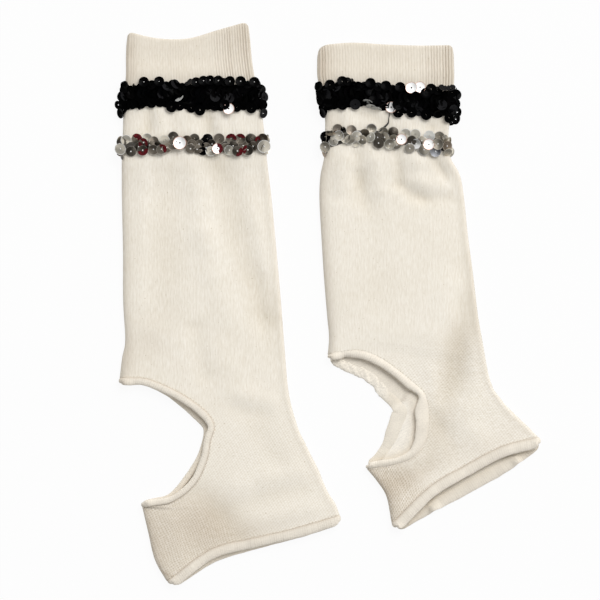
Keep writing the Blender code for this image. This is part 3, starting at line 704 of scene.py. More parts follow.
class Round:
    """A corner of the outline that is rounded off. tip is where a side fold meets the cloth's edge,
    ahead the way the side runs there, across the way the edge runs from the tip, hem how far the
    hem stands past the edge, and radius the rounding's, all on the sheet."""

    def __init__(self, tip, ahead, across, hem, radius):
        ahead, across = unit(np.asarray(ahead, float)), unit(np.asarray(across, float))
        out = np.array([across[1], -across[0]])
        if out @ ahead < 0:
            out = -out
        # Where the side, carried on, meets the hem's outer line.
        corner = tip + ahead * (hem / (ahead @ out))
        half = math.acos(float(np.clip(-ahead @ across, -1, 1))) / 2
        self.bisector = unit(across - ahead)
        self.centre = corner + self.bisector * radius / math.sin(half)
        self.wedge = math.pi / 2 - half
        self.reach = radius / math.cos(self.wedge) * 1.25

    def apply(self, sheet):
        v = sheet - self.centre
        far = np.linalg.norm(v, axis=1)
        turn = np.arccos(np.clip(-(v @ self.bisector) / np.maximum(far, 1e-9), -1, 1))
        inside = (turn < self.wedge) & (far < self.reach)
        scale = np.where(inside, np.cos(self.wedge - np.minimum(turn, self.wedge)), 1.0)
        return self.centre + v * scale[:, None]


def rounds_of(sock):
    last = sock.count - 1
    hole, strap = sock.first_hole, sock.first_strap
    toe = TOE_HEM_WIDTH[sock.name] / UNIT
    at = lambda a, share: sock.on_sheet(a, share)[0]
    left, right, small = (11.5, 9.5, 5.0) if sock.name == "left" else (7.5, 7.0, 5.0)
    tips = [
        (at(last, 0.0), at(last, 0.0) - at(last - 0.5, 0.0), at(last, 0.06) - at(last, 0.0), toe, left),
        (at(last, 1.0), at(last, 1.0) - at(last - 0.5, 1.0), at(last, 0.94) - at(last, 1.0), toe, right),
        (at(hole, 0.0), at(hole, 0.0) - at(hole - 0.4, 0.0), sock.left_end(hole + 0.5, False) - at(hole, 0.0),
         sock.column(hole, "hem")[0], small),
        (at(strap, 0.0), at(strap, 0.0) - at(strap + 0.4, 0.0), sock.left_end(strap - 0.6, False) - at(strap, 0.0),
         sock.column(strap, "hem")[0], small),
    ]
    return [Round(*t) for t in tips]


def rounded(points, rounds):
    """Points in metres with the corners of the outline rounded off."""
    sheet = np.column_stack([(points[:, 0] - SHIFT[0]) / UNIT + SHEET_X, SHEET_Y - (points[:, 1] - SHIFT[1]) / UNIT])
    for r in rounds:
        sheet = r.apply(sheet)
    return to_metres(sheet, points[:, 2])


def sheet_at(sock, height, share=0.5):
    """The place between sections whose row passes a height of the sheet."""
    low, high = 0.0, float(sock.first_hole)
    for _ in range(30):
        middle = (low + high) / 2
        if sock.on_sheet(middle, share)[0, 1] < height:
            low = middle
        else:
            high = middle
    return (low + high) / 2


def row_places(sock, first, last, pitch):
    """Places between sections, about pitch sheet units apart along the middle, that include the
    hole's first and last section."""
    fixed = [first, *[p for p in (sock.first_hole, sock.first_strap) if first < p < last], last]
    places = []
    for a, b in zip(fixed[:-1], fixed[1:]):
        fine = np.linspace(a, b, 60)
        line = []
        for at in fine:
            at = min(max(at, a + 1e-5), b - 1e-5)
            ends = sock.on_sheet(at, (0.02, 0.5, 1.0))
            line.append(ends)
        line = np.array(line)
        run = np.linalg.norm(np.diff(line, axis=0), axis=2).max(axis=1)
        gone = np.concatenate([[0], np.cumsum(run)])
        n = max(2, int(round(gone[-1] / pitch)))
        places += list(np.interp(np.linspace(0, gone[-1], n + 1)[:-1], gone, fine))
    return places + [last]


def leg_shell(sock, shell, start):
    """The leg and the foot, from a place under the black trim down to the toe."""
    places = row_places(sock, start, sock.count - 1, 2.75)
    points, sheets, layers, starts, at_rows = [], [], [], [], []
    total = 0
    for at in places:
        p, s, _, layer = sock.ring(at)
        starts.append(total)
        total += len(p)
        points.append(p)
        sheets.append(s)
        layers.append(layer)
        at_rows.append(np.full(len(p), at))
    full, part = 2 * ACROSS + 2 * ROUND, 2 * ACROSS + ROUND
    quads = []
    for r in range(len(places) - 1):
        here, after = sock.is_open(places[r]), sock.is_open(places[r + 1])
        columns = part - 1 if here or after else full
        c = np.arange(columns)
        d = (c + 1) % full
        quads.append(np.column_stack([starts[r] + c, starts[r + 1] + c, starts[r + 1] + d, starts[r] + d]))
    quads = np.vstack(quads)
    points, sheets = np.vstack(points), np.vstack(sheets)
    layers, at_rows = np.vstack(layers), np.concatenate(at_rows)
    # The top row slips inside the cuff's lower edge.
    tuck = 1 - step_up(at_rows, start, start + 0.25)
    open_rows = [i for i, at in enumerate(places) if sock.is_open(at)]
    top, bottom = open_rows[0] - 1, open_rows[-1] + 1
    last = part - 1
    hole = [starts[r] for r in range(top, bottom + 1)]
    hole += [starts[bottom] + full - 1 - k for k in range(ROUND)]
    hole += [starts[r] + last for r in range(bottom, top - 1, -1)]
    hole += [starts[top] + last + 1 + k for k in range(ROUND)]
    end = starts[-1]
    toe = [end + c for c in range(full)]
    collar = [starts[0] + c for c in range(full)][::-1]
    foot, strap = areas(sock, sheets)
    rows = np.arange(top, bottom + 1)
    edge_line = np.array([sheets[starts[r]] for r in rows])
    hems = np.array([sock.column(places[r], "hem")[0] for r in rows])
    # How far in and how strongly shade is painted on the lower layer inside the heel hole; below, the same inside the
    # toe opening.
    if sock.name == "left":
        reach, strength = np.full(len(rows), 7.0), np.full(len(rows), 0.55)
    else:
        low = step_up(edge_line[:, 1], 390, 412)
        reach, strength = 8.5 - 5.9 * low, 1.0 - 0.4 * low
    mouths = [mouth_line(edge_line, hems, reach, strength)]
    toe_line = sheets[starts[-1] : starts[-1] + ACROSS]
    toe_hem = np.full(ACROSS, TOE_HEM_WIDTH[sock.name] / UNIT)
    mouths.append(mouth_line(toe_line, toe_hem, np.full(ACROSS, 5.5), np.full(ACROSS, 0.45)))
    if sock.name == "right":
        # Past the hem on top, the lower layer swells a little.
        gap, _ = past(sheets, *mouths[1][:2])
        swell = 0.0005 * step_up(gap, -0.8, 1.4) * (1 - step_up(gap, 3.5, 10.0))
        points[:, 2] += swell * (1 - layers[:, 0]) * step_up(at_rows, sock.count - 2.5, sock.count - 1.8)
    fields = {
        "stain_and_shade": stain_and_shade(sheets),
        "foot": foot,
        "strap": strap,
        "rib": np.zeros(len(points)),
        "cuff": np.zeros(len(points)),
        "upper": layers[:, 0],
        # Painted shade along the side folds.
        "edge": layers[:, 1],
        "dip": dips(sock, sheets, layers[:, 0]),
        # Painted shade on the lower layer inside the tube, near the openings.
        "deep": deep(sheets, mouths) * (1 - layers[:, 0]),
    }
    out = WALL / 2 - 0.0004 * tuck
    shell.wall(points, quads, [hole, toe, collar], out, fields)
    area = 0.0
    a, b, c, d = (points[quads[:, i]] for i in range(4))
    area += np.linalg.norm(np.cross(c - a, d - b), axis=1).sum() / 2
    edges = {"hole": (points[hole], soft_normals(points, quads)[hole]), "toe": (points[toe], soft_normals(points, quads)[toe])}
    edges["mouths"] = mouths
    widths = []
    for r in range(top, bottom + 1):
        widths.append(sock.column(places[r], "hem")[0])
    hole_widths = widths + [widths[-1]] * ROUND + widths[::-1] + [widths[0]] * ROUND
    edges["hole_widths"] = np.array(hole_widths) * UNIT
    edges["toe_widths"] = np.full(full, TOE_HEM_WIDTH[sock.name])
    # Whether a place of an edge is on the lower layer, and how far along the hole it is.
    rows = bottom - top + 1
    fold = (np.arange(ROUND) + 1) / (ROUND + 1)
    edges["hole_lower"] = np.concatenate([np.zeros(rows), fold, np.ones(rows), 1 - fold])
    down = np.array(places[top : bottom + 1])
    edges["hole_at"] = np.concatenate([down, np.full(ROUND, down[-1]), down[::-1], np.full(ROUND, down[0])])
    edges["toe_lower"] = np.concatenate([np.zeros(ACROSS), fold, np.ones(ACROSS), 1 - fold])
    edges["toe_at"] = np.zeros(full)
    return area, edges


def cuff_shell(sock, shell, last):
    """The ribbed cuff, from the top edge to a place under the black trim."""
    columns = RIBS_ROUND * PER_RIB
    places = row_places(sock, 0.0, last, 2.7)
    points, fields = [], {"edge": [], "share": [], "layer": [], "sheet": [], "phase": []}
    for at in places:
        p, sheet, share, layer = sock.ring(at, 160, 16)
        closed = np.vstack([p, p[:1]])
        run = np.concatenate([[0], np.cumsum(np.linalg.norm(np.diff(closed, axis=0), axis=1))])
        spots = np.linspace(0, run[-1], columns + 1)[:-1]
        points.append(np.column_stack([np.interp(spots, run, closed[:, i]) for i in range(3)]))
        for key, value in (("share", share), ("layer", layer[:, 0]), ("edge", layer[:, 1])):
            value = np.concatenate([value, value[:1]])
            fields[key].append(np.interp(spots, run, value))
        value = np.vstack([sheet, sheet[:1]])
        fields["sheet"].append(np.column_stack([np.interp(spots, run, value[:, i]) for i in range(2)]))
        fields["phase"].append(np.arange(columns) / PER_RIB)
    rows = len(places)
    c = np.arange(columns)
    d = (c + 1) % columns
    quads = np.vstack(
        [
            np.column_stack([r * columns + c, (r + 1) * columns + c, (r + 1) * columns + d, r * columns + d])
            for r in range(rows - 1)
        ]
    )
    points = np.vstack(points)
    sheet, share = np.vstack(fields["sheet"]), np.concatenate(fields["share"])
    layer, phase = np.concatenate(fields["layer"]), np.concatenate(fields["phase"])
    row = np.repeat(np.arange(rows) / (rows - 1), columns)
    wide = rib_strength(sock, share, layer)
    wave = np.cos(2 * math.pi * phase)
    each = np.random.default_rng(11 if sock.name == "left" else 12).random(RIBS_ROUND)
    single = 0.55 + 0.9 * each[(np.round(phase).astype(int)) % RIBS_ROUND]
    amount = wide * single
    out = WALL / 2 + 0.00017 * amount * (wave - 0.4) * np.minimum(1, 0.4 + row * 6)
    # groove is how much shade is painted in each rib's trough; it also drives a little bump.
    groove_shade = np.clip(0.5 - 0.5 * wave, 0, 1) ** 1.5 * amount
    n = len(points)
    shell.wall(
        points,
        quads,
        [np.arange(columns)[::-1], (rows - 1) * columns + np.arange(columns)],
        out,
        {
            "stain_and_shade": stain_and_shade(sheet),
            "foot": np.zeros(n),
            "strap": np.zeros(n),
            "rib": groove_shade,
            "cuff": np.ones(n),
            "upper": layer,
            # Painted shade along the side folds.
            "edge": np.concatenate(fields["edge"]),
            "dip": np.zeros(n),
            # Painted shade on the inner face of the cuff's lower layer.
            "deep": 0.5 * (1 - layer),
        },
    )
    a, b, c2, d2 = (points[quads[:, i]] for i in range(4))
    return np.linalg.norm(np.cross(c2 - a, d2 - b), axis=1).sum() / 2


def rib_strength(sock, share, layer):
    """How far the ribs stand out across a cuff: most beside the folds, where the knit is least
    stretched."""
    if sock.name == "left":
        s = 0.12 + 0.80 * step_up(share, 0.60, 0.86) + 0.42 * (1 - step_up(share, 0.0, 0.16))
        s += 0.10 * np.exp(-(((share - 0.36) / 0.10) ** 2))
    else:
        s = 0.28 + 0.90 * (1 - step_up(share, 0.0, 0.18)) + 0.76 * step_up(share, 0.70, 0.92)
    return s * (0.7 + 0.3 * layer)



# ------------------------------------------------------------------ rolled hems
def evenly(loop, values, pitch):
    """A closed loop of points, and values on it, at even steps."""
    closed = np.vstack([loop, loop[:1]])
    run = np.concatenate([[0], np.cumsum(np.linalg.norm(np.diff(closed, axis=0), axis=1))])
    n = int(round(run[-1] / pitch))
    spots = np.linspace(0, run[-1], n + 1)[:-1]
    picked = np.column_stack([np.interp(spots, run, closed[:, i]) for i in range(3)])
    out = []
    for v in values:
        v = np.asarray(v, float).reshape(len(loop), -1)
        v = np.vstack([v, v[:1]])
        out.append(np.column_stack([np.interp(spots, run, v[:, i]) for i in range(v.shape[1])]))
    return picked, out, run[-1]


def soften(values, reach):
    """Values round a closed loop, averaged over reach steps either way."""
    if reach < 1:
        return values
    k = np.arange(-reach, reach + 1)
    w = np.cos(k / (reach + 1) * math.pi / 2) ** 2
    w /= w.sum()
    total = np.zeros_like(values)
    for step, share in zip(k, w):
        total += share * np.roll(values, -step, axis=0)
    return total


HEM_SIDES = 18
HEM_PITCH = 0.00032


def hem_roll(edge, widths, lower, at, kind, seed, mouth, pitch=0.00125):
    """A rolled hem along a closed edge of the cloth, with the fine ribs of its knit across it.
    lower is 1 on the lower layer and at how far down the hole a place is. Where the hem is on the
    lower layer and is seen from inside the tube, kind "inside", it lies flush with the brushed
    inner face."""
    points, normals = edge
    places, (normal, width, lower, at), length = evenly(points, [normals, widths, lower, at], HEM_PITCH)
    lower, at = soften(lower, 12)[:, 0], at[:, 0]
    places = soften(places, 4)
    normal, width = unit(soften(normal, 6)), soften(width, 8)[:, 0]
    flat = step_up(lower, 0.35, 1.0) if kind == "inside" else np.zeros(len(places))
    fluff = flat * (1 - step_up(at, 18.7, 19.5)) * (at > 0)
    soft_side = 0.0 if kind != "inside" or not at.any() else 1.0
    # Where the right heel's hem is wide, its cloth is stretched smooth.
    plain = 1 - 0.75 * soft_side * step_up(at, 18.8, 19.8) * (1 - step_up(at, 23.0, 24.2))
    n = len(places)
    tangent = unit(np.roll(places, -4, axis=0) - np.roll(places, 4, axis=0))
    side = unit(soften(np.cross(tangent, normal), 3))
    normal = unit(np.cross(side, tangent))
    s = np.arange(n) / n * length
    ribs = round(length / pitch)
    phase = s / length * ribs
    r = np.random.default_rng(seed)
    each = 0.4 + 1.1 * r.random(ribs)
    uneven = 1 + 0.035 * wander(s / 0.006, seed) + 0.02 * wander(s / 0.002, seed + 1)
    uneven += fluff * (0.16 * wander(s / 0.0050, seed + 6) + 0.07 * wander(s / 0.0016, seed + 7))
    lap = 0.00014 + 0.0014 * flat
    half = (width + lap) / 2 * uneven
    tall = (HEM_HEIGHT / 2 - 0.00038 * flat) * (1 + 0.05 * wander(s / 0.005, seed + 2))
    centre = places + side * ((width - lap) / 2)[:, None]
    centre[:, 2] += HEM_RISE * (1 - flat) + 0.00022 * flat
    up = np.where(normal[:, 2] < 0, -1.0, 1.0)
    j = np.arange(HEM_SIDES)
    a = 2 * math.pi * j / HEM_SIDES
    rings, grooves = [], []
    for angle in a:
        ca, sa = math.cos(angle), math.sin(angle)
        # The hem is squarish: fuller at its shoulders than an ellipse.
        full = 1 / (abs(ca) ** 2.4 + abs(sa) ** 2.4) ** (1 / 2.4)
        slant = 0.22 * ca + 0.10 * wander(s / 0.004, seed + 3)
        here = phase + slant
        strength = each[np.floor(here).astype(int) % ribs]
        wave = 0.5 + 0.5 * np.cos(2 * math.pi * here)
        on_top = 0.35 + 0.65 * max(0.0, sa) + 0.3 * max(0.0, ca)
        dent = 0.00005 * strength * (1 - wave) * on_top * (1 - fluff) * plain
        height = tall * sa * full
        if soft_side and ca < 0 and sa > 0:
            # The turned-in cloth slopes gently down to its seam.
            height = height * (1 - 0.62 * (-ca) ** 1.5 * (1 - flat))
        offset = side * (half * ca * full)[:, None] + normal * height[:, None]
        offset -= unit(offset) * dent[:, None]
        lumps = 0.00042 * fluff * (wander(s / 0.0011 + 3 * angle, seed + 9) + 0.6 * wander(s / 0.0005 - 5 * angle, seed + 10))
        offset += normal * (lumps * abs(sa))[:, None] + side * (0.6 * lumps * max(0.0, ca))[:, None]
        rings.append(centre + offset)
        # How much shade is painted in the troughs between the hem's ribs.
        grooves.append((1 - wave) * strength * on_top * (1 - fluff) * (1 + 1.2 * flat) * plain)
    grid = np.stack(rings, axis=1).reshape(-1, 3)
    grid[:, 2] = np.maximum(grid[:, 2], 0.00003)
    i, k = np.meshgrid(np.arange(n), j, indexing="ij")
    i, k = i.ravel(), k.ravel()
    i2, k2 = (i + 1) % n, (k + 1) % HEM_SIDES
    faces = np.column_stack(
        [i * HEM_SIDES + k, i2 * HEM_SIDES + k, i2 * HEM_SIDES + k2, i * HEM_SIDES + k2]
    )
    # Where the hem turns in against the cloth: its seam is painted darker there as shade.
    inner = np.clip(-np.cos(a), 0, 1)[None] * (1 - flat)[:, None]
    if soft_side:
        # The turned-in edge melts into the cloth, with hardly a groove.
        inner = inner * (1 - 0.55 * (1 - flat))[:, None]
    sheet = to_sheet(grid)
    fields = {
        "rib": np.stack(grooves, axis=1).ravel(),
        "inner": inner.ravel(),
        # Painted shade where the hem lies on the lower layer inside the tube.
        "deep": deep(sheet, mouth) * np.repeat(lower, HEM_SIDES),
        "flat": np.repeat(flat, HEM_SIDES),
        "fluff": np.repeat(fluff, HEM_SIDES),
        "stain_and_shade": stain_and_shade(sheet),
    }
    return grid, faces, fields


def to_sheet(points):
    return np.column_stack(
        [
            (points[:, 0] - SHIFT[0]) / UNIT + SHEET_X,
            SHEET_Y - (points[:, 1] - SHIFT[1]) / UNIT,
        ]
    )


def mesh_object(name, points, faces, fields, materials, index=None, smooth_faces=True):
    mesh = bpy.data.meshes.new(name)
    mesh.from_pydata(np.asarray(points).tolist(), [], np.asarray(faces).tolist())
    for key, value in fields.items():
        value = np.asarray(value, np.float32)
        if value.ndim == 2:
            layer = mesh.attributes.new(key, "FLOAT_COLOR", "POINT")
            layer.data.foreach_set("color", value.ravel())
        else:
            layer = mesh.attributes.new(key, "FLOAT", "POINT")
            layer.data.foreach_set("value", value)
    mesh.polygons.foreach_set("use_smooth", [smooth_faces] * len(mesh.polygons))
    for m in materials:
        mesh.materials.append(m)
    if index is not None:
        mesh.polygons.foreach_set("material_index", np.asarray(index, np.int32))
        mesh.update()
        mesh.set_sharp_from_angle(angle=math.radians(42))
    mesh.update()
    obj = bpy.data.objects.new(name, mesh)
    bpy.context.scene.collection.objects.link(obj)
    return obj


def stitches(edge, tree, inset, long, pitch, seed):
    """Thread dashes of a seam on the cloth, inset from its edge. They lie on the outer side."""
    points, normals = edge
    places, (normal,), length = evenly(points, [normals], pitch)
    n = len(places)
    tangent = unit(np.roll(places, -1, axis=0) - np.roll(places, 1, axis=0))
    side = unit(np.cross(tangent, normal))
    r = np.random.default_rng(seed)
    all_points, all_faces = [], []
    count = 0
    around = np.linspace(0, 2 * math.pi, 7)[:-1]
    for i in range(n):
        start = Vector(places[i] - side[i] * (inset + 0.00008 * r.standard_normal()) + normal[i] * 0.004)
        hit, hit_normal, _, _ = tree.ray_cast(start, Vector(-normal[i]), 0.008)
        if hit is None:
            continue
        up = np.array(hit_normal)
        if up @ normal[i] < 0:
            up = -up
        t = unit(tangent[i] - up * (tangent[i] @ up))
        turn = 0.12 * r.standard_normal()
        w = np.cross(up, t)
        t = unit(t + w * turn)
        w = np.cross(up, t)
        reach = long * (0.85 + 0.3 * r.random()) / 2
        # On the underside a stitch is pressed into the cloth it rests on.
        hit = Vector((hit[0], hit[1], max(hit[2], 0.0002)))
        for k, (f, thick) in enumerate(((-1, 0.25), (-0.6, 0.85), (0.0, 1.0), (0.6, 0.85), (1, 0.25))):
            c = np.array(hit) + t * reach * f + up * 0.00004 * (1 - f * f)
            rad = 0.00015 * thick
            all_points.append(
                c[None] + rad * (np.cos(around)[:, None] * w[None] + np.sin(around)[:, None] * up[None])
            )
            if k:
                for a in range(6):
                    b = (a + 1) % 6
                    lo, hi = count + (k - 1) * 6, count + k * 6
                    all_faces.append((lo + a, hi + a, hi + b, lo + b))
        all_faces.append((count + 2, count + 1, count + 0, count + 0)[:3])
        all_faces.append((count + 3, count + 2, count + 0)[:3])
        all_faces.append((count + 5, count + 4, count + 3)[:3])
        all_faces.append((count + 5, count + 3, count + 0)[:3])
        e = count + 24
        all_faces.append((e, e + 1, e + 2))
        all_faces.append((e, e + 2, e + 3))
        all_faces.append((e + 3, e + 4, e + 5))
        all_faces.append((e, e + 3, e + 5))
        count += 30
    return np.vstack(all_points), all_faces


# ------------------------------------------------------------------ sequins
DISC = 24  # corners round a sequin
RINGS = (0.13, 0.34, 0.62, 0.86, 1.0)


def disc_form():
    """A cupped sequin with a hole, radius 1, facing +Z: corners, faces, and for each face its place
    round the disc and its ring. The last faces are the rims."""
    phi = np.arange(DISC) / DISC * 2 * math.pi
    top = []
    for rho in RINGS:
        cup = 0.21 * max(0.0, rho - 0.22) ** 1.5
        flute = 0.006 * np.cos(7 * phi) * step_up(rho, 0.3, 0.9)
        top.append(np.column_stack([rho * np.cos(phi), rho * np.sin(phi), cup + flute]))
    low = [t - np.array([0, 0, 0.036]) for t in top]
    points = np.vstack(top + low)
    faces, turn, ring = [], [], []
    m = len(RINGS)
    for k in range(m - 1):
        for i in range(DISC):
            j = (i + 1) % DISC
            a, b = k * DISC, (k + 1) * DISC
            faces.append((a + i, b + i, b + j, a + j))
            turn.append((i + 0.5) / DISC)
            ring.append(k)
    for k in range(m - 1):
        for i in range(DISC):
            j = (i + 1) % DISC
            a, b = (m + k) * DISC, (m + k + 1) * DISC
            faces.append((a + j, b + j, b + i, a + i))
            turn.append((i + 0.5) / DISC)
            ring.append(-1)
    for i in range(DISC):
        j = (i + 1) % DISC
        a, b = (m - 1) * DISC, (2 * m - 1) * DISC
        faces.append((a + i, b + i, b + j, a + j))
        turn.append((i + 0.5) / DISC)
        ring.append(9)
        a, b = 0, m * DISC
        faces.append((a + j, b + j, b + i, a + i))
        turn.append((i + 0.5) / DISC)
        ring.append(9)
    return points, np.array(faces), np.array(turn), np.array(ring)


FORM, FORM_FACES, FORM_TURN, FORM_RING = disc_form()


class Sequins:
    """Many sequins as one mesh."""

    def __init__(self):
        self.points, self.faces, self.index, self.shade = [], [], [], []
        self.count = 0

    def put(self, centre, facing, radius, kind, shade, spin=0.0, cup=1.0, glint=None, rim=None, fade=None):
        """cup is 1 for a hollow that faces out and -1 for one that faces in. glint is (turn, width,
        kind) of a painted reflection, a coloured crescent at the rim; turn is in degrees from the sheet's +x,
        anticlockwise. rim is a colour painted on the thin edge, where it differs: a painted highlight on silver
        discs, a painted orange fringe on white ones. fade is (turn, amount): a painted reflection, the disc darker on
        one side and lighter on the other."""
        w = unit(np.asarray(facing, float))
        ahead = np.array([1.0, 0, 0]) if abs(w[0]) < 0.9 else np.array([0, 1.0, 0])
        u = unit(ahead - w * (ahead @ w))
        v = np.cross(w, u)
        c, s = math.cos(spin), math.sin(spin)
        u, v = u * c + v * s, v * c - u * s
        form = FORM.copy()
        faces = FORM_FACES
        if cup < 0:
            form[:, 2] = -form[:, 2] - 0.036
            faces = faces[:, ::-1]
        place = np.asarray(centre) + radius * (
            form[:, :1] * u[None] + form[:, 1:2] * v[None] + form[:, 2:] * w[None]
        )
        low = place[:, 2].min()
        if low < 0.00004:
            place[:, 2] += 0.00004 - low
        index = np.full(len(faces), kind)
        # A painted reflection: a crescent of the disc takes another material.
        if glint is not None:
            turn, width, other = glint
            # the wanted direction on the sheet, in the disc's own turn
            d = np.array([math.cos(math.radians(turn)), math.sin(math.radians(turn)), 0])
            here = math.atan2(d @ v, d @ u) / (2 * math.pi)
            gap = np.abs((FORM_TURN - here + 0.5) % 1 - 0.5) * 360
            shown = FORM_RING != -1 if cup > 0 else FORM_RING == -1
            index[(gap < width / 2) & shown & (FORM_RING != 0)] = other
        self.points.append(place)
        self.faces.append(faces + self.count)
        self.index.append(index)
        colours = np.tile(np.array([*shade, 1.0]), (len(place), 1))
        # Painted reflection: the disc darker on one side and lighter on the other.
        if fade is not None:
            turn, amount = fade
            across = FORM[:, 0] * math.cos(turn) + FORM[:, 1] * math.sin(turn)
            colours[:, :3] *= (1 + amount * (2 * step_up(across, -0.35, 0.30) - 1))[:, None]
            colours = np.minimum(colours, 1.0)
        # The thin edge painted in its own colour: a painted highlight or a painted fringe.
        if rim is not None:
            m = len(RINGS)
            for last in (m, 2 * m):
                colours[(last - 1) * DISC : last * DISC, :3] = rim
        self.shade.append(colours)
        self.count += len(place)

    def plain(self, points, faces, kind, shade):
        self.points.append(np.asarray(points))
        self.faces.append(np.asarray(faces) + self.count)
        self.index.append(np.full(len(faces), kind))
        self.shade.append(np.tile(np.array([*shade, 1.0]), (len(points), 1)))
        self.count += len(points)

    def build(self, name, materials):
        return mesh_object(
            name,
            np.vstack(self.points),
            np.vstack(self.faces),
            {"shade": np.vstack(self.shade)},
            materials,
            np.concatenate(self.index),
        )


class Band:
    """Where a ring of trim runs round its sock."""

    def __init__(self, sock, trim):
        self.sock, self.trim = sock, trim
        self.heights = (trim.at_left, trim.at_1, trim.at_2, trim.at_3, trim.at_right)
        self.memory = {}

    def size(self, y):
        key = round(float(y) * 4)
        if key not in self.memory:
            at = sheet_at(self.sock, key / 4)
            lift, half, _ = self.sock.size(at)
            left, right = self.sock.on_sheet(at, 0.0)[0], self.sock.on_sheet(at, 1.0)[0]
            self.memory[key] = (at, lift, half, left[0], right[0])
        return self.memory[key]

    def height(self, share):
        return smooth(QUARTERS, self.heights, share)[0, 0]

    def top(self, x, y, off):
        """(point, outward direction) above the upper layer or round a fold, off metres clear."""
        at, lift, half, left, right = self.size(y)
        inset = half / UNIT
        middle = lift + half
        if left + inset <= x <= right - inset:
            share = (x - left) / (right - left)
            width = (right - left) * UNIT
            sheet = np.array([[x, y]])
            away = min(share, 1 - share) * width
            swell = 1 - math.exp(-((away / 0.012) ** 1.4))
            z = middle + half + self.sock.crown(at) * swell
            z += folds(sheet, self.sock.creases)[0] * min(1.0, 8 * (1 - share), 8 * share)
            return to_metres(sheet, z + off)[0], np.array([0.0, 0, 1])
        rightward = x > right - inset
        centre = right - inset if rightward else left + inset
        sign = 1.0 if rightward else -1.0
        out = min(1.0, abs(x - centre) * UNIT / (half + off))
        up = math.sqrt(1 - out * out)
        place = to_metres(np.array([[x, y]]), middle + (half + off) * up)[0]
        return place, np.array([sign * out, 0, up])

    def ring(self, turn, v, off):
        """A place round the band. turn runs from 0 to 1 over the top to the right, 1 to 2 round the
        right fold, 2 to 3 back underneath and 3 to 4 round the left fold. v is across the band in
        sheet units."""
        turn = turn % 4
        kind, f = int(turn), turn - int(turn)
        share = {0: f, 1: 1.0, 2: 1 - f, 3: 0.0}[kind]
        y = self.height(share) + v
        at, lift, half, left, right = self.size(y)
        inset = half / UNIT
        middle = lift + half
        if kind in (0, 2):
            x = left + inset + (right - left - 2 * inset) * share
            if kind == 0:
                return self.top(x, y, off)
            return to_metres(np.array([[x, y]]), middle - half - off)[0], np.array([0, 0, -1.0])
        angle = math.pi / 2 - math.pi * f if kind == 1 else -math.pi / 2 - math.pi * f
        centre = right - inset if kind == 1 else left + inset
        x = centre + math.cos(angle) * (half + off) / UNIT
        z = middle + math.sin(angle) * (half + off)
        way = np.array([math.cos(angle), 0, math.sin(angle)])
        return to_metres(np.array([[x, y]]), z)[0], way

    def lengths(self):
        """How long the top, the right fold, the underside and the left fold are, in metres."""
        _, _, half, left, right = self.size(self.height(0.5))
        flat = (right - left) * UNIT - 2 * half
        fold = math.pi * half
        return np.array([flat, fold, flat, fold])

    def turns(self, pitch, first=0.0, last=4.0):
        """Turns about pitch metres apart."""
        lengths = self.lengths()
        run = np.concatenate([[0], np.cumsum(lengths)])
        a, b = np.interp([first, last], np.arange(5), run)
        n = max(1, int(round((b - a) / pitch)))
        return np.interp(a + (np.arange(n) + 0.5) / n * (b - a), run, np.arange(5))

    def ribbon(self, reach, thick, lift):
        """The elastic tape that the sequins are sewn to, as a closed band."""
        turns = self.turns(0.0012)
        n = len(turns)
        across = [-reach, -reach, reach, reach]
        offs = [lift, lift + thick, lift + thick, lift]
        points = []
        for t in turns:
            for v, off in zip(across, offs):
                p, _ = self.ring(t, v, off)
                points.append(p)
        faces = []
        for i in range(n):
            j = (i + 1) % n
            for k in range(4):
                m = (k + 1) % 4
                faces.append((i * 4 + k, i * 4 + m, j * 4 + m, j * 4 + k))
        points = np.array(points)
        points[:, 2] = np.maximum(points[:, 2], 0.00005)
        return points, faces


def leaning(up, lean, toward):
    """A direction lean degrees off up, towards a direction on the sheet in degrees from +x."""
    d = np.array([math.cos(math.radians(toward)), math.sin(math.radians(toward)), 0.0])
    up = unit(np.asarray(up, float))
    d = d - up * (d @ up)
    if np.linalg.norm(d) < 1e-6:
        d = np.array([0, 0, 1.0])
    d = unit(d)
    t = math.radians(lean)
    return unit(up * math.cos(t) + d * math.sin(t))



# ------------------------------------------------------------------ the sequins that lie on top
# x and y are the middle of a sequin on the sheet and size its radius, in sheet units. lean is how
# far it tips off flat and toward which way it faces then, both in degrees, with toward counted
# anticlockwise from the sheet's right. level is how many millimetres it stands off the cloth.
Disc = namedtuple("Disc", "x y size tone lean toward level")
# A Glint is a painted red reflection on one of the listed sequins.
Glint = namedtuple("Glint", "number turn width")  # a red crescent on a sequin of the list

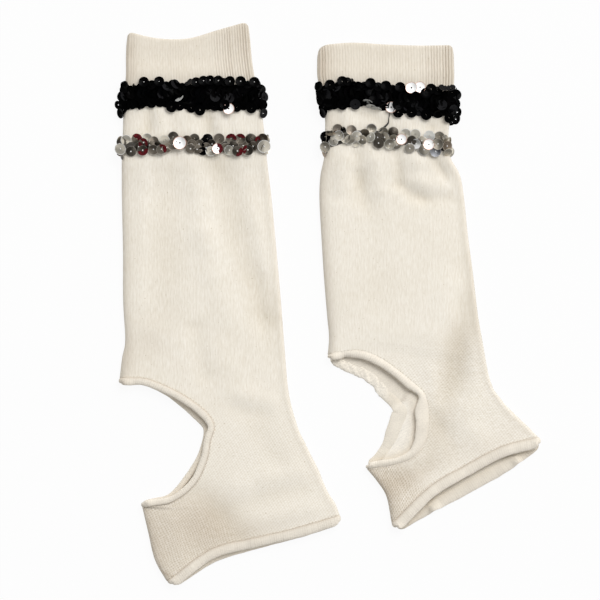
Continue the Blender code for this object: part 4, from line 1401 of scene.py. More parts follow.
LEFT_SILVER = [
    #    x      y      size tone     lean toward level
    Disc(126.4, 140.5, 5.3, "clear", 14, 120, 0.9),
    Disc(120.9, 149.3, 5.9, "clear", 22, 215, 2.2),
    Disc(121.6, 156.2, 4.4, "dark", 68, 190, 0.6),
    Disc(137.2, 139.3, 5.3, "grey", 16, 60, 1.0),
    Disc(131.4, 151.9, 5.4, "dark", 18, 250, 1.9),
    Disc(139.2, 147.4, 5.0, "dark", 36, 10, 1.4),
    Disc(144.0, 143.2, 4.9, "grey", 26, 20, 1.7),
    Disc(143.1, 150.7, 5.3, "dark", 20, 280, 2.1),
    Disc(147.5, 138.6, 5.2, "light", 12, 100, 0.8),
    Disc(149.9, 145.6, 5.2, "grey", 24, 170, 1.5),
    Disc(154.3, 141.2, 4.9, "brown", 18, 90, 1.0),
    Disc(153.9, 149.8, 5.2, "grey", 22, 240, 2.0),
    Disc(158.4, 147.0, 5.2, "dark", 26, 200, 1.5),
    Disc(165.1, 140.6, 5.4, "clear", 16, 80, 0.9),
    Disc(161.9, 149.6, 5.3, "dark", 22, 300, 2.1),
    Disc(167.0, 148.2, 5.3, "grey", 26, 320, 1.6),
    Disc(173.6, 137.2, 5.4, "dark", 10, 90, 0.6),
    Disc(173.0, 145.2, 5.5, "grey", 12, 200, 1.9),
    Disc(180.1, 143.4, 6.6, "white", 8, 90, 2.6),
    Disc(187.4, 140.6, 5.1, "umber", 16, 60, 1.0),
    Disc(194.8, 138.8, 5.0, "dark", 14, 90, 0.8),
    Disc(192.5, 144.6, 5.0, "grey", 20, 200, 1.6),
    Disc(190.8, 149.2, 5.2, "grey", 22, 270, 2.1),
    Disc(199.3, 144.6, 5.0, "dark", 26, 330, 1.4),
    Disc(197.4, 149.8, 5.0, "grey", 24, 250, 2.0),
    Disc(203.0, 151.4, 4.6, "black", 30, 260, 1.6),
    Disc(207.8, 139.0, 5.2, "black", 12, 80, 0.8),
    Disc(203.4, 141.8, 4.4, "black", 30, 140, 1.2),
    Disc(206.4, 148.2, 5.2, "grey", 24, 210, 2.0),
    Disc(212.4, 144.4, 4.9, "dark", 28, 20, 1.4),
    Disc(211.0, 151.4, 5.2, "clear", 18, 260, 2.2),
    Disc(219.3, 139.0, 5.4, "grey", 10, 90, 0.9),
    Disc(217.8, 149.2, 5.4, "white", 10, 240, 2.4),
    Disc(225.4, 148.4, 5.0, "dark", 26, 320, 1.5),
    Disc(231.4, 139.2, 5.4, "dark", 14, 90, 0.9),
    Disc(229.6, 150.6, 5.2, "light", 24, 230, 1.8),
    Disc(233.4, 146.4, 5.2, "dark", 22, 60, 1.6),
    Disc(240.6, 139.2, 5.4, "grey", 16, 60, 1.0),
    Disc(237.6, 151.4, 5.5, "dark", 18, 290, 2.2),
    Disc(243.4, 146.2, 5.1, "grey", 22, 150, 1.6),
    Disc(251.0, 139.4, 5.5, "dark", 12, 80, 1.0),
    Disc(248.1, 150.4, 5.5, "dark", 18, 250, 2.2),
    Disc(253.2, 146.6, 5.0, "grey", 26, 20, 1.5),
    Disc(258.2, 141.4, 4.9, "dark", 46, 10, 1.2),
    Disc(263.0, 138.6, 5.2, "umber", 22, 70, 1.0),
    Disc(264.0, 146.6, 6.6, "clear", 18, 300, 2.2),
    Disc(265.4, 148.4, 5.6, "dark", 40, 330, 0.9),
]
# Painted red reflections, as crescents on the listed discs.
LEFT_RED_REFLECTIONS = [
    Glint(3, 50, 200), Glint(5, 0, 200), Glint(6, 40, 170), Glint(7, 290, 190),
    Glint(14, 30, 170), Glint(32, 10, 160), Glint(34, 80, 170), Glint(37, 75, 130),
    Glint(38, 330, 140), Glint(41, 165, 110), Glint(43, 100, 160),
]
RIGHT_SILVER = [
    Disc(325.5, 137.0, 5.4, "black", 14, 130, 1.0),
    Disc(333.4, 141.2, 5.0, "clear", 14, 260, 0.4),
    Disc(331.2, 133.4, 5.2, "dark", 52, 100, 1.0),
    Disc(325.2, 147.4, 5.5, "grey", 22, 215, 2.0),
    Disc(324.6, 154.0, 4.2, "umber", 66, 200, 0.8),
    Disc(337.6, 129.4, 5.4, "brown", 14, 90, 0.8),
    Disc(338.9, 136.0, 5.3, "clear", 20, 200, 1.7),
    Disc(344.0, 131.6, 4.6, "black", 44, 40, 0.9),
    Disc(345.4, 138.2, 5.3, "grey", 16, 240, 2.0),
    Disc(351.3, 130.6, 5.4, "brown", 14, 90, 0.8),
    Disc(349.4, 139.8, 5.3, "grey", 26, 300, 1.5),
    Disc(356.6, 136.8, 5.3, "clear", 16, 240, 1.8),
    Disc(356.1, 144.6, 3.6, "clear", 40, 270, 1.2),
    Disc(364.0, 133.6, 5.2, "dark", 30, 100, 1.0),
    Disc(362.4, 140.2, 5.1, "grey", 34, 210, 1.9),
    Disc(371.2, 129.2, 5.3, "grey", 12, 90, 0.8),
    Disc(370.0, 137.2, 5.1, "light", 28, 160, 1.5),
    Disc(377.4, 137.8, 5.2, "dark", 18, 200, 1.4),
    Disc(378.3, 143.6, 5.5, "dark", 20, 250, 2.1),
    Disc(383.2, 131.8, 4.8, "grey", 16, 80, 0.7),
    Disc(384.4, 137.8, 5.2, "grey", 22, 20, 1.4),
    Disc(393.0, 132.4, 5.2, "dark", 12, 80, 0.8),
    Disc(389.4, 144.4, 5.4, "grey", 18, 260, 2.1),
    Disc(393.8, 140.0, 5.1, "grey", 24, 200, 1.5),
    Disc(396.6, 145.4, 5.1, "grey", 26, 300, 1.9),
    Disc(405.3, 134.4, 5.5, "light", 10, 90, 0.9),
    Disc(401.2, 139.8, 5.4, "white", 8, 230, 2.2),
    Disc(411.4, 141.0, 5.0, "dark", 22, 20, 1.3),
    Disc(415.0, 134.8, 5.4, "light", 12, 90, 0.8),
    Disc(409.4, 149.0, 5.3, "grey", 20, 270, 2.0),
    Disc(415.8, 144.4, 5.0, "mist", 20, 200, 1.7),
    Disc(421.4, 141.2, 5.1, "grey", 24, 150, 1.4),
    Disc(423.7, 150.2, 5.9, "grey", 14, 260, 2.2),
    Disc(429.0, 136.4, 5.6, "mist", 8, 90, 1.2),
    Disc(428.4, 144.9, 5.6, "white", 10, 250, 2.5),
    Disc(434.6, 143.0, 5.0, "grey", 22, 30, 1.4),
    Disc(439.2, 137.0, 5.4, "grey", 16, 60, 0.9),
    Disc(435.2, 151.6, 5.5, "steel", 12, 280, 1.8),
    Disc(437.5, 144.4, 5.6, "grey", 12, 240, 2.6),
    Disc(445.2, 139.6, 4.9, "grey", 50, 20, 1.0),
    Disc(446.7, 146.4, 5.2, "umber", 24, 340, 1.8),
    Disc(447.9, 153.4, 4.8, "grey", 42, 300, 1.2),
]
# Painted red reflections: none on the right sock.
RIGHT_RED_REFLECTIONS = []

# The black rings' upper and lower rows, as x, y, radius, lean and toward.
Outline = namedtuple("Outline", "x y size lean toward tone")
# Outlines with the tone facet show a painted grey reflection.
LEFT_BLACK = [
    Outline(126.1, 89.2, 4.9, 28, 140, "black"), Outline(144.3, 82.6, 5.2, 12, 100, "black"),
    Outline(134.6, 88.4, 4.4, 70, 180, "black"), Outline(159.5, 82.2, 5.2, 16, 80, "black"),
    Outline(152.0, 85.6, 5.0, 24, 110, "black"), Outline(167.2, 86.8, 5.2, 34, 50, "facet"),
    Outline(175.6, 84.8, 5.1, 40, 40, "facet"), Outline(182.2, 87.8, 4.8, 30, 90, "black"),
    Outline(188.9, 83.2, 4.8, 58, 130, "facet"), Outline(196.5, 82.8, 5.0, 14, 90, "black"),
    Outline(203.8, 81.4, 5.0, 12, 80, "black"), Outline(210.4, 80.9, 5.0, 12, 95, "black"),
    Outline(218.6, 81.2, 5.1, 14, 85, "black"), Outline(225.0, 83.0, 4.7, 30, 60, "black"),
    Outline(230.1, 81.9, 5.2, 12, 90, "black"), Outline(240.8, 81.9, 5.3, 12, 85, "black"),
    Outline(248.0, 85.6, 4.8, 34, 100, "black"), Outline(254.5, 82.6, 5.2, 14, 80, "black"),
    Outline(261.0, 89.6, 5.0, 26, 40, "black"), Outline(264.6, 97.0, 4.9, 50, 10, "facet"),
    Outline(262.6, 105.2, 5.2, 30, 350, "black"), Outline(263.4, 113.6, 5.0, 46, 340, "facet"),
    Outline(118.6, 105.2, 4.4, 40, 200, "black"), Outline(121.0, 113.6, 5.2, 52, 195, "black"),
    Outline(121.8, 96.6, 5.0, 36, 165, "black"), Outline(126.7, 105.8, 5.0, 22, 250, "black"),
    Outline(132.5, 105.0, 4.9, 24, 280, "black"), Outline(139.2, 105.8, 4.6, 66, 200, "black"),
    Outline(145.0, 102.4, 5.0, 22, 260, "black"), Outline(151.9, 103.6, 5.0, 20, 280, "black"),
    Outline(160.1, 102.8, 5.0, 24, 260, "black"), Outline(166.0, 103.2, 5.0, 26, 250, "black"),
    Outline(171.9, 107.4, 5.5, 12, 265, "black"), Outline(180.1, 106.4, 5.0, 30, 290, "black"),
    Outline(186.4, 106.0, 4.6, 40, 250, "black"), Outline(191.6, 108.6, 4.8, 26, 270, "black"),
    Outline(200.2, 110.6, 5.4, 12, 270, "black"), Outline(207.6, 105.6, 5.1, 26, 280, "black"),
    Outline(214.8, 106.6, 5.1, 20, 265, "black"), Outline(221.0, 106.8, 5.0, 26, 260, "black"),
    Outline(236.9, 107.6, 5.0, 18, 290, "black"), Outline(243.6, 106.0, 5.0, 28, 260, "black"),
    Outline(251.6, 108.4, 5.4, 12, 270, "black"), Outline(258.0, 105.4, 5.0, 30, 300, "black"),
    Outline(229.4, 98.8, 5.2, 12, 80, "facet"), Outline(215.4, 97.4, 5.2, 14, 60, "facet"),
    Outline(168.6, 96.4, 5.0, 34, 100, "black"), Outline(162.0, 95.0, 5.0, 30, 20, "facet"),
    Outline(125.0, 96.8, 5.0, 40, 30, "facet"),
]
RIGHT_BLACK = [
    Outline(321.4, 91.8, 5.9, 20, 150, "black"), Outline(325.8, 94.8, 5.6, 26, 200, "facet"),
    Outline(329.8, 85.4, 5.2, 16, 110, "black"), Outline(336.4, 87.6, 5.0, 34, 140, "facet"),
    Outline(342.1, 81.9, 5.2, 14, 90, "black"), Outline(347.6, 82.4, 4.8, 30, 60, "black"),
    Outline(352.6, 83.2, 4.4, 68, 20, "black"), Outline(357.8, 87.4, 5.0, 26, 100, "black"),
    Outline(364.4, 86.6, 4.8, 30, 80, "black"), Outline(370.3, 83.6, 5.1, 12, 90, "black"),
    Outline(377.9, 87.6, 5.0, 26, 70, "black"), Outline(385.7, 86.4, 5.2, 14, 95, "black"),
    Outline(392.8, 90.0, 4.8, 34, 40, "black"), Outline(399.8, 87.8, 5.2, 14, 90, "black"),
    Outline(405.2, 92.8, 5.0, 30, 240, "black"), Outline(424.6, 91.6, 5.0, 34, 100, "black"),
    Outline(430.8, 89.6, 5.4, 14, 90, "black"), Outline(437.2, 91.6, 5.0, 30, 80, "black"),
    Outline(442.6, 88.6, 4.8, 52, 70, "facet"), Outline(450.6, 88.6, 4.8, 50, 100, "facet"),
    Outline(456.0, 95.0, 5.4, 24, 20, "black"), Outline(456.2, 104.0, 5.0, 44, 0, "black"),
    Outline(452.4, 110.0, 5.4, 40, 330, "facet"), Outline(457.0, 112.6, 5.2, 42, 350, "black"),
    Outline(455.6, 119.6, 5.2, 44, 335, "black"), Outline(452.2, 122.4, 4.4, 60, 300, "black"),
    Outline(327.4, 104.8, 5.9, 16, 230, "black"), Outline(320.8, 101.4, 5.0, 40, 190, "black"),
    Outline(323.0, 113.6, 5.0, 56, 200, "black"), Outline(334.4, 102.4, 5.2, 26, 280, "black"),
    Outline(342.4, 105.2, 5.4, 14, 270, "black"), Outline(349.2, 103.0, 5.0, 26, 300, "black"),
    Outline(355.1, 104.8, 5.4, 16, 260, "facet"), Outline(361.8, 101.6, 5.0, 30, 250, "black"),
    Outline(383.6, 107.4, 4.8, 46, 280, "black"), Outline(397.9, 112.8, 5.4, 14, 260, "black"),
    Outline(404.4, 109.4, 5.0, 30, 280, "black"), Outline(411.3, 112.8, 5.4, 14, 270, "black"),
    Outline(418.6, 111.6, 5.0, 26, 250, "facet"), Outline(425.9, 115.0, 5.6, 12, 270, "black"),
    Outline(433.0, 112.2, 5.0, 32, 260, "black"), Outline(438.0, 114.2, 5.2, 44, 285, "black"),
    Outline(445.4, 111.4, 5.0, 30, 270, "black"), Outline(441.5, 105.6, 5.4, 14, 120, "facet"),
    Outline(413.2, 103.6, 5.2, 22, 200, "facet"), Outline(384.4, 98.0, 5.0, 34, 150, "facet"),
]
# Sequins of the black rings that glint white, with x, y, radius, lean, toward, level and tone.
FLASHES = {
    "left": [
        Disc(228.9, 109.3, 5.6, "white", 10, 80, 3.0), Disc(225.2, 105.3, 5.0, "black", 12, 120, 3.6),
        Disc(179.8, 98.6, 4.8, "mist", 52, 130, 1.9), Disc(184.0, 95.4, 5.0, "black", 24, 200, 2.8),
    ],
    "right": [
        Disc(411.0, 88.4, 5.8, "white", 8, 110, 3.0), Disc(419.6, 87.9, 5.7, "white", 8, 80, 2.4),
        Disc(425.4, 94.0, 5.4, "black", 16, 60, 3.2), Disc(415.4, 97.0, 5.2, "black", 14, 260, 3.4),
        Disc(390.9, 107.8, 5.6, "white", 12, 190, 2.0), Disc(397.0, 105.4, 5.4, "black", 12, 20, 3.0),
        Disc(367.8, 102.6, 5.2, "mist", 60, 250, 2.2), Disc(371.4, 107.0, 5.4, "mist", 66, 255, 1.8),
        Disc(376.4, 108.8, 5.0, "mist", 70, 262, 1.2), Disc(373.4, 101.0, 5.2, "black", 20, 80, 2.9),
    ],
}
# What a tone means: the material's number, and its colour. The metal tones and white are one silver film: their
# colours paint how bright each disc's reflection looks. facet is a painted grey reflection on a black disc.
BLACK, METAL, FLASH, CLEAR, RED_REFLECTION, KNOT_HIGHLIGHT, TAPE = range(7)
TONES = {
    "black": (BLACK, (0.0006, 0.0006, 0.0007)),
    "facet": (BLACK, (0.012, 0.012, 0.013)),
    "dark": (METAL, (0.145, 0.130, 0.108)),
    "slate": (METAL, (0.255, 0.225, 0.185)),
    "umber": (METAL, (0.22, 0.18, 0.14)),
    "steel": (METAL, (0.30, 0.31, 0.335)),
    "brown": (METAL, (0.55, 0.48, 0.40)),
    "grey": (METAL, (0.49, 0.455, 0.385)),
    "light": (CLEAR, (0.57, 0.54, 0.47)),
    "mist": (CLEAR, (0.62, 0.62, 0.60)),
    "white": (FLASH, (1.0, 1.0, 1.0)),
    "clear": (CLEAR, (0.60, 0.56, 0.485)),
}
# The loose thread that hangs from the right black ring, on the sheet, with its thickness.
THREAD = [
    (385.0, 103.0, 0.30), (387.6, 109.0, 0.36), (389.0, 114.0, 0.40), (388.6, 119.0, 0.50),
    (388.0, 123.4, 0.70), (385.6, 126.2, 1.00), (382.6, 128.8, 1.20), (379.8, 131.4, 0.90),
    (377.4, 133.4, 0.30),
]



# ------------------------------------------------------------------ shader helpers
class Nodes:
    """A material's nodes, made by short calls."""

    def __init__(self, name):
        self.material = bpy.data.materials.new(name)
        self.material.use_nodes = True
        self.tree = self.material.node_tree
        self.shader = self.tree.nodes["Principled BSDF"]

    def new(self, kind, **settings):
        node = self.tree.nodes.new(kind)
        for key, value in settings.items():
            setattr(node, key, value)
        return node

    def feed(self, socket, value):
        if isinstance(value, bpy.types.NodeSocket):
            self.tree.links.new(value, socket)
        elif value is not None:
            socket.default_value = value

    def math(self, operation, a, b=None, c=None, clamp=False):
        node = self.new("ShaderNodeMath", operation=operation, use_clamp=clamp)
        for socket, value in zip(node.inputs, (a, b, c)):
            self.feed(socket, value)
        return node.outputs[0]

    def add(self, *terms):
        total = terms[0]
        for t in terms[1:]:
            total = self.math("ADD", total, t)
        return total

    def times(self, a, b):
        return self.math("MULTIPLY", a, b)

    def place(self):
        return self.new("ShaderNodeTexCoord").outputs["Object"]

    def dot(self, vector, direction):
        node = self.new("ShaderNodeVectorMath", operation="DOT_PRODUCT")
        self.feed(node.inputs[0], vector)
        node.inputs[1].default_value = direction
        return node.outputs["Value"]

    def scaled(self, vector, scale, turn=0.0):
        node = self.new("ShaderNodeMapping")
        self.feed(node.inputs["Vector"], vector)
        node.inputs["Scale"].default_value = scale
        node.inputs["Rotation"].default_value = (0, 0, turn)
        return node.outputs[0]

    def noise(self, vector, scale, detail=2.0, rough=0.5):
        node = self.new("ShaderNodeTexNoise")
        self.feed(node.inputs["Vector"], vector)
        node.inputs["Scale"].default_value = scale
        node.inputs["Detail"].default_value = detail
        node.inputs["Roughness"].default_value = rough
        return node.outputs["Fac"]

    def field(self, name, colour=False):
        node = self.new("ShaderNodeAttribute", attribute_name=name)
        return node.outputs["Color" if colour else "Fac"]

    def blend(self, share, a, b, mode="MIX"):
        node = self.new("ShaderNodeMix", data_type="RGBA", blend_type=mode)
        self.feed(node.inputs["Factor"], share)
        for socket, value in ((node.inputs[6], a), (node.inputs[7], b)):
            if isinstance(value, tuple):
                value = (*value, 1.0)
            self.feed(socket, value)
        return node.outputs[2]

    def range(self, value, low, high, out_low=0.0, out_high=1.0):
        node = self.new("ShaderNodeMapRange")
        self.feed(node.inputs["Value"], value)
        for key, v in (("From Min", low), ("From Max", high), ("To Min", out_low), ("To Max", out_high)):
            node.inputs[key].default_value = v
        return node.outputs[0]

    def bump(self, height, distance, strength=1.0):
        node = self.new("ShaderNodeBump")
        self.feed(node.inputs["Height"], height)
        node.inputs["Distance"].default_value = distance
        node.inputs["Strength"].default_value = strength
        self.tree.links.new(node.outputs["Normal"], self.shader.inputs["Normal"])

    def set(self, **values):
        for key, value in values.items():
            self.shader.inputs[key.replace("_", " ")].default_value = value
        return self.material

    def paint(self, colour):
        self.feed(self.shader.inputs["Base Color"], colour)


def wave(n, vector, angle, pitch, bend=None, amount=0.0):
    """Lines across a direction of the sheet: angle in degrees as seen with y down, pitch in sheet
    units."""
    t = math.radians(angle)
    k = 2 * math.pi / (pitch * UNIT)
    phase = n.dot(vector, (math.cos(t) * k, -math.sin(t) * k, 0))
    if bend is not None:
        phase = n.add(phase, n.times(bend, amount))
    return n.math("SINE", phase)


def knit_material(side):
    n = Nodes(f"knitted_cotton_{side}")
    p = n.place()
    k = KNIT[side]
    soft = n.noise(p, 60, 2)
    drift = n.math("SUBTRACT", soft, 0.5)
    # Leg: upright wales with a streaky, uneven yarn.
    leg = n.add(wave(n, p, 0, 2.84, drift, 16.0), wave(n, p, 1, 3.72, drift, 13.0))
    streak = n.noise(n.scaled(p, (1500, 260, 800)), 1.0, 2, 0.6)
    leg_fine = n.math("SUBTRACT", streak, 0.5)
    leg_all = n.add(n.times(leg, k["leg_wave"]), n.times(leg_fine, k["leg_streak"]))
    # Foot: lines that slant one way, crossed by a fainter set.
    foot = wave(n, p, *k["foot_lines"], drift, 12.0)
    cross = wave(n, p, *k["foot_other"], drift, 8.0)
    foot_streak = n.math("SUBTRACT", n.noise(n.scaled(p, (500, 1500, 800), math.radians(-43)), 1.0, 2, 0.6), 0.5)
    foot_all = n.add(
        n.times(foot, k["foot_wave"]), n.times(cross, k["foot_cross"]), n.times(foot_streak, k["foot_streak"])
    )
    strap = wave(n, p, *k["strap_lines"], drift, 26.0)
    strap_cross = wave(n, p, *k["strap_other"], drift, 30.0)
    # Its stitches show as dots where the two sets of lines cross.
    dots = n.times(n.math("SUBTRACT", 1.0, strap), n.math("SUBTRACT", 1.0, strap_cross))
    speck = n.math("SUBTRACT", n.noise(p, 1150, 2, 0.6), 0.5)
    blot = n.math("SUBTRACT", n.noise(p, 560, 1), 0.5)
    strap_all = n.add(
        n.times(strap, k["strap_wave"]), n.times(strap_cross, k["strap_cross"]),
        n.times(n.times(n.math("SUBTRACT", dots, 1.0), n.add(0.3, n.times(n.math("ADD", blot, 0.5), 1.4))), -k["strap_dots"]),
        n.times(speck, k["strap_streak"]), n.times(blot, 0.20),
    )
    on_foot, on_strap, on_cuff = n.field("foot"), n.field("strap"), n.field("cuff")
    rib, worn_and_shaded = n.field("rib"), n.field("stain_and_shade")
    plain = n.math("SUBTRACT", n.math("SUBTRACT", n.math("SUBTRACT", 1.0, on_foot), on_strap), on_cuff, clamp=True)
    pattern = n.add(
        n.times(plain, leg_all), n.times(on_foot, foot_all), n.times(on_strap, strap_all),
        n.times(on_cuff, n.times(leg_fine, k["cuff_streak"])),
    )
    # Sparse darker flecks of seed in the cotton.
    fleck = n.range(n.noise(p, 900, 1, 0.5), 0.735, 0.80)
    broad = n.math("SUBTRACT", n.noise(p, 26, 3), 0.5)
    ground = n.blend(on_foot, CLOTH["leg"], CLOTH["foot"])
    ground = n.blend(on_strap, ground, CLOTH["strap"])
    ground = n.blend(on_cuff, ground, CLOTH["cuff"])
    # Cloth browned with wear, and painted shade along creases and folds.
    ground = n.blend(worn_and_shaded, ground, CLOTH["worn_and_shaded"])
    shade = n.add(1.0, pattern, n.times(broad, 0.10))
    shade = n.math("SUBTRACT", shade, n.times(fleck, 0.30))
    # Painted shade in the creases of the upper layer.
    shade = n.math("SUBTRACT", shade, n.times(n.field("dip"), k["crease_shade"]))
    # Where the knit is darker it is browner too.
    grey = n.new("ShaderNodeCombineColor")
    for socket, power in zip(grey.inputs, (0.85, 1.0, 1.3)):
        n.feed(socket, n.math("POWER", shade, power))
    colour = n.blend(1.0, ground, grey.outputs[0], "MULTIPLY")
    # Painted shade in the grooves between the cuff's ribs.
    colour = n.blend(n.math("MULTIPLY", rib, k["rib_groove_shade"], clamp=True), colour, CLOTH["groove_shade"])
    # Painted shade along the side folds, heavier on the left one.
    colour = n.blend(n.times(n.field("edge"), k["fold_shade"]), colour, CLOTH["edge"])
    n.paint(colour)
    n.bump(n.add(pattern, n.times(rib, -0.2)), 0.00022, 0.6)
    return n.set(Roughness=0.95, Specular_IOR_Level=0.15, Sheen_Weight=0.12, Sheen_Roughness=0.6)


def inside_material():
    """The tube's inner face, a short brushed terry."""
    n = Nodes("brushed_inside")
    p = n.place()
    loops = n.noise(p, 1500, 2, 0.65)
    soft = n.noise(p, 320, 2)
    fleck = n.range(n.noise(p, 1250, 1, 0.5), 0.66, 0.74)
    rows = wave(n, p, 60, 2.4, n.math("SUBTRACT", n.noise(p, 90, 2), 0.5), 10.0)
    shade = n.add(0.95, n.times(n.math("SUBTRACT", loops, 0.5), 0.30), n.times(n.math("SUBTRACT", soft, 0.5), 0.16), n.times(rows, 0.02))
    shade = n.math("SUBTRACT", shade, n.times(fleck, 0.16))
    grey = n.new("ShaderNodeCombineColor")
    for socket in grey.inputs:
        n.feed(socket, shade)
    colour = n.blend(1.0, CLOTH["inside"], grey.outputs[0], "MULTIPLY")
    # Painted shade inside the tube.
    colour = n.blend(n.times(n.field("deep"), 1.0), colour, CLOTH["deep"])
    # Cloth browned with wear, and painted shade along creases and folds.
    n.paint(n.blend(n.times(n.field("stain_and_shade"), 0.6), colour, CLOTH["worn_and_shaded"]))
    n.bump(n.add(loops, n.times(soft, 0.8)), 0.0003, 0.5)
    return n.set(Roughness=0.97, Specular_IOR_Level=0.1, Sheen_Weight=0.25, Sheen_Roughness=0.5)


def hem_material():
    n = Nodes("rolled_hem")
    p = n.place()
    fine = n.math("SUBTRACT", n.noise(p, 1400, 2, 0.6), 0.5)
    soft = n.math("SUBTRACT", n.noise(p, 150, 2), 0.5)
    rib, inner, worn_and_shaded = n.field("rib"), n.field("inner"), n.field("stain_and_shade")
    flat, fluff = n.field("flat"), n.field("fluff")
    loops = n.math("SUBTRACT", n.noise(p, 1000, 2, 0.65), 0.5)
    # Cloth browned with wear, and painted shade along creases and folds.
    ground = n.blend(n.times(worn_and_shaded, 0.7), CLOTH["hem"], CLOTH["worn_and_shaded"])
    ground = n.blend(flat, ground, CLOTH["band"])
    ground = n.blend(fluff, ground, CLOTH["inside"])
    shade = n.add(1.0, n.times(fine, 0.30), n.times(soft, 0.16), n.times(n.times(loops, fluff), 0.60))
    grey = n.new("ShaderNodeCombineColor")
    for socket in grey.inputs:
        n.feed(socket, shade)
    colour = n.blend(1.0, ground, grey.outputs[0], "MULTIPLY")
    # Painted shade in the grooves between the hem's ribs and along its turned-in seam.
    colour = n.blend(n.math("MULTIPLY", rib, HEM_GROOVE_SHADE, clamp=True), colour, CLOTH["groove_shade"])
    seam_shade = n.math("POWER", inner, 3.0)
    colour = n.blend(n.times(seam_shade, 0.75), colour, CLOTH["groove_shade"])
    # Painted shade where the hem lies inside the tube.
    colour = n.blend(n.times(n.field("deep"), 0.8), colour, CLOTH["deep"])
    n.paint(colour)
    n.bump(n.add(fine, n.times(n.times(loops, fluff), 1.6)), 0.0002, 0.6)
    return n.set(Roughness=0.95, Specular_IOR_Level=0.15, Sheen_Weight=0.12, Sheen_Roughness=0.6)


def thread_material():
    n = Nodes("seam_thread")
    p = n.place()
    twist = n.noise(p, 2600, 1)
    n.paint(n.blend(twist, CLOTH["thread_low"], CLOTH["thread"]))
    n.bump(twist, 0.0001, 0.5)
    return n.set(Roughness=0.8, Specular_IOR_Level=0.2)


def black_material():
    n = Nodes("black_sequin")
    p = n.place()
    shade = n.field("shade", True)
    grey = n.blend(n.noise(p, 420, 2), (0.7, 0.7, 0.7), (1.3, 1.3, 1.3))
    n.paint(n.blend(1.0, shade, grey, "MULTIPLY"))
    n.feed(n.shader.inputs["Roughness"], n.range(n.noise(p, 700, 2), 0.3, 0.7, 0.16, 0.30))
    return n.set(Specular_IOR_Level=0.02)


def metal_material():
    n = Nodes("silver_sequin")
    p = n.place()
    shade = n.field("shade", True)
    film = n.noise(p, 380, 2)
    tint = n.blend(n.range(film, 0.35, 0.65), (0.86, 0.84, 0.82), (1.0, 1.0, 1.0))
    n.paint(n.blend(1.0, shade, tint, "MULTIPLY"))
    n.feed(n.shader.inputs["Roughness"], n.range(film, 0.3, 0.7, 0.32, 0.44))
    return n.set(Metallic=1.0)


def flash_material():
    n = Nodes("bright_sequin")
    p = n.place()
    film = n.noise(p, 500, 2)
    n.paint(n.blend(1.0, n.field("shade", True), n.blend(film, (0.97, 0.97, 0.96), (1.0, 1.0, 1.0)), "MULTIPLY"))
    n.feed(n.shader.inputs["Roughness"], n.range(film, 0.3, 0.7, 0.42, 0.55))
    return n.set(Metallic=0.75, Specular_IOR_Level=0.8)


def clear_material():
    n = Nodes("clear_sequin")
    p = n.place()
    shade = n.field("shade", True)
    film = n.blend(n.noise(p, 500, 2), (0.92, 0.92, 0.90), (1.06, 1.06, 1.05))
    n.paint(n.blend(1.0, shade, film, "MULTIPLY"))
    n.feed(n.shader.inputs["Roughness"], n.range(n.noise(p, 400, 2), 0.3, 0.7, 0.26, 0.40))
    return n.set(Transmission_Weight=0.25, IOR=1.45, Specular_IOR_Level=0.6)


# A painted red reflection, laid on a crescent of a silver disc.
def red_reflection_material():
    n = Nodes("painted_red_reflection")
    p = n.place()
    film = n.noise(p, 900, 2)
    n.paint(n.blend(n.range(film, 0.35, 0.65), (0.045, 0.002, 0.004), (0.130, 0.006, 0.010)))
    n.feed(n.shader.inputs["Roughness"], n.range(film, 0.3, 0.7, 0.35, 0.50))
    return n.set(Specular_IOR_Level=0.15)


# The pale knots: painted highlights at the sequins' holes.
def bead_material():
    n = Nodes("knot_highlight")
    p = n.place()
    film = n.noise(p, 2000, 1)
    n.paint(n.blend(film, (0.86, 0.85, 0.83), (0.98, 0.98, 0.97)))
    return n.set(Roughness=0.25, Specular_IOR_Level=0.8)


def tape_material():
    n = Nodes("elastic_tape")
    p = n.place()
    rib = wave(n, p, 90, 1.6)
    shade = n.field("shade", True)
    grey = n.blend(n.range(rib, -1, 1), (0.6, 0.6, 0.6), (1.0, 1.0, 1.0))
    n.paint(n.blend(1.0, shade, grey, "MULTIPLY"))
    n.bump(rib, 0.0002, 0.5)
    return n.set(Roughness=0.9, Specular_IOR_Level=0.1)


def floor_material():
    n = Nodes("pale_ground")
    p = n.place()
    grain = n.noise(p, 6, 2)
    n.paint(n.blend(grain, (0.058, 0.058, 0.058), (0.062, 0.062, 0.062)))
    n.set(Roughness=1.0, Specular_IOR_Level=0.0)
    n.shader.inputs["Emission Color"].default_value = (1.0, 1.0, 1.0, 1.0)
    n.shader.inputs["Emission Strength"].default_value = GROUND_GLOW
    return n.material


# ------------------------------------------------------------------ colours, linear
CLOTH = {
    "leg": (0.858, 0.802, 0.703),
    "foot": (0.855, 0.800, 0.704),
    "strap": (0.773, 0.703, 0.595),
    "cuff": (0.774, 0.710, 0.607),
    # The colour of cloth browned with wear, and of the shade painted along creases and folds.
    "worn_and_shaded": (0.560, 0.475, 0.375),
    "inside": (0.970, 0.917, 0.822),
    # The colour of the shade painted inside the tube.
    "deep": (0.560, 0.455, 0.320),
    "band": (0.848, 0.787, 0.684),
    "hem": (0.848, 0.786, 0.686),
    # The colour of the shade painted in rib grooves and seams.
    "groove_shade": (0.330, 0.255, 0.180),
    # The colour of the shade painted along the side folds.
    "edge": (0.430, 0.365, 0.285),
    "thread": (0.800, 0.745, 0.650),
    "thread_low": (0.560, 0.490, 0.400),
}
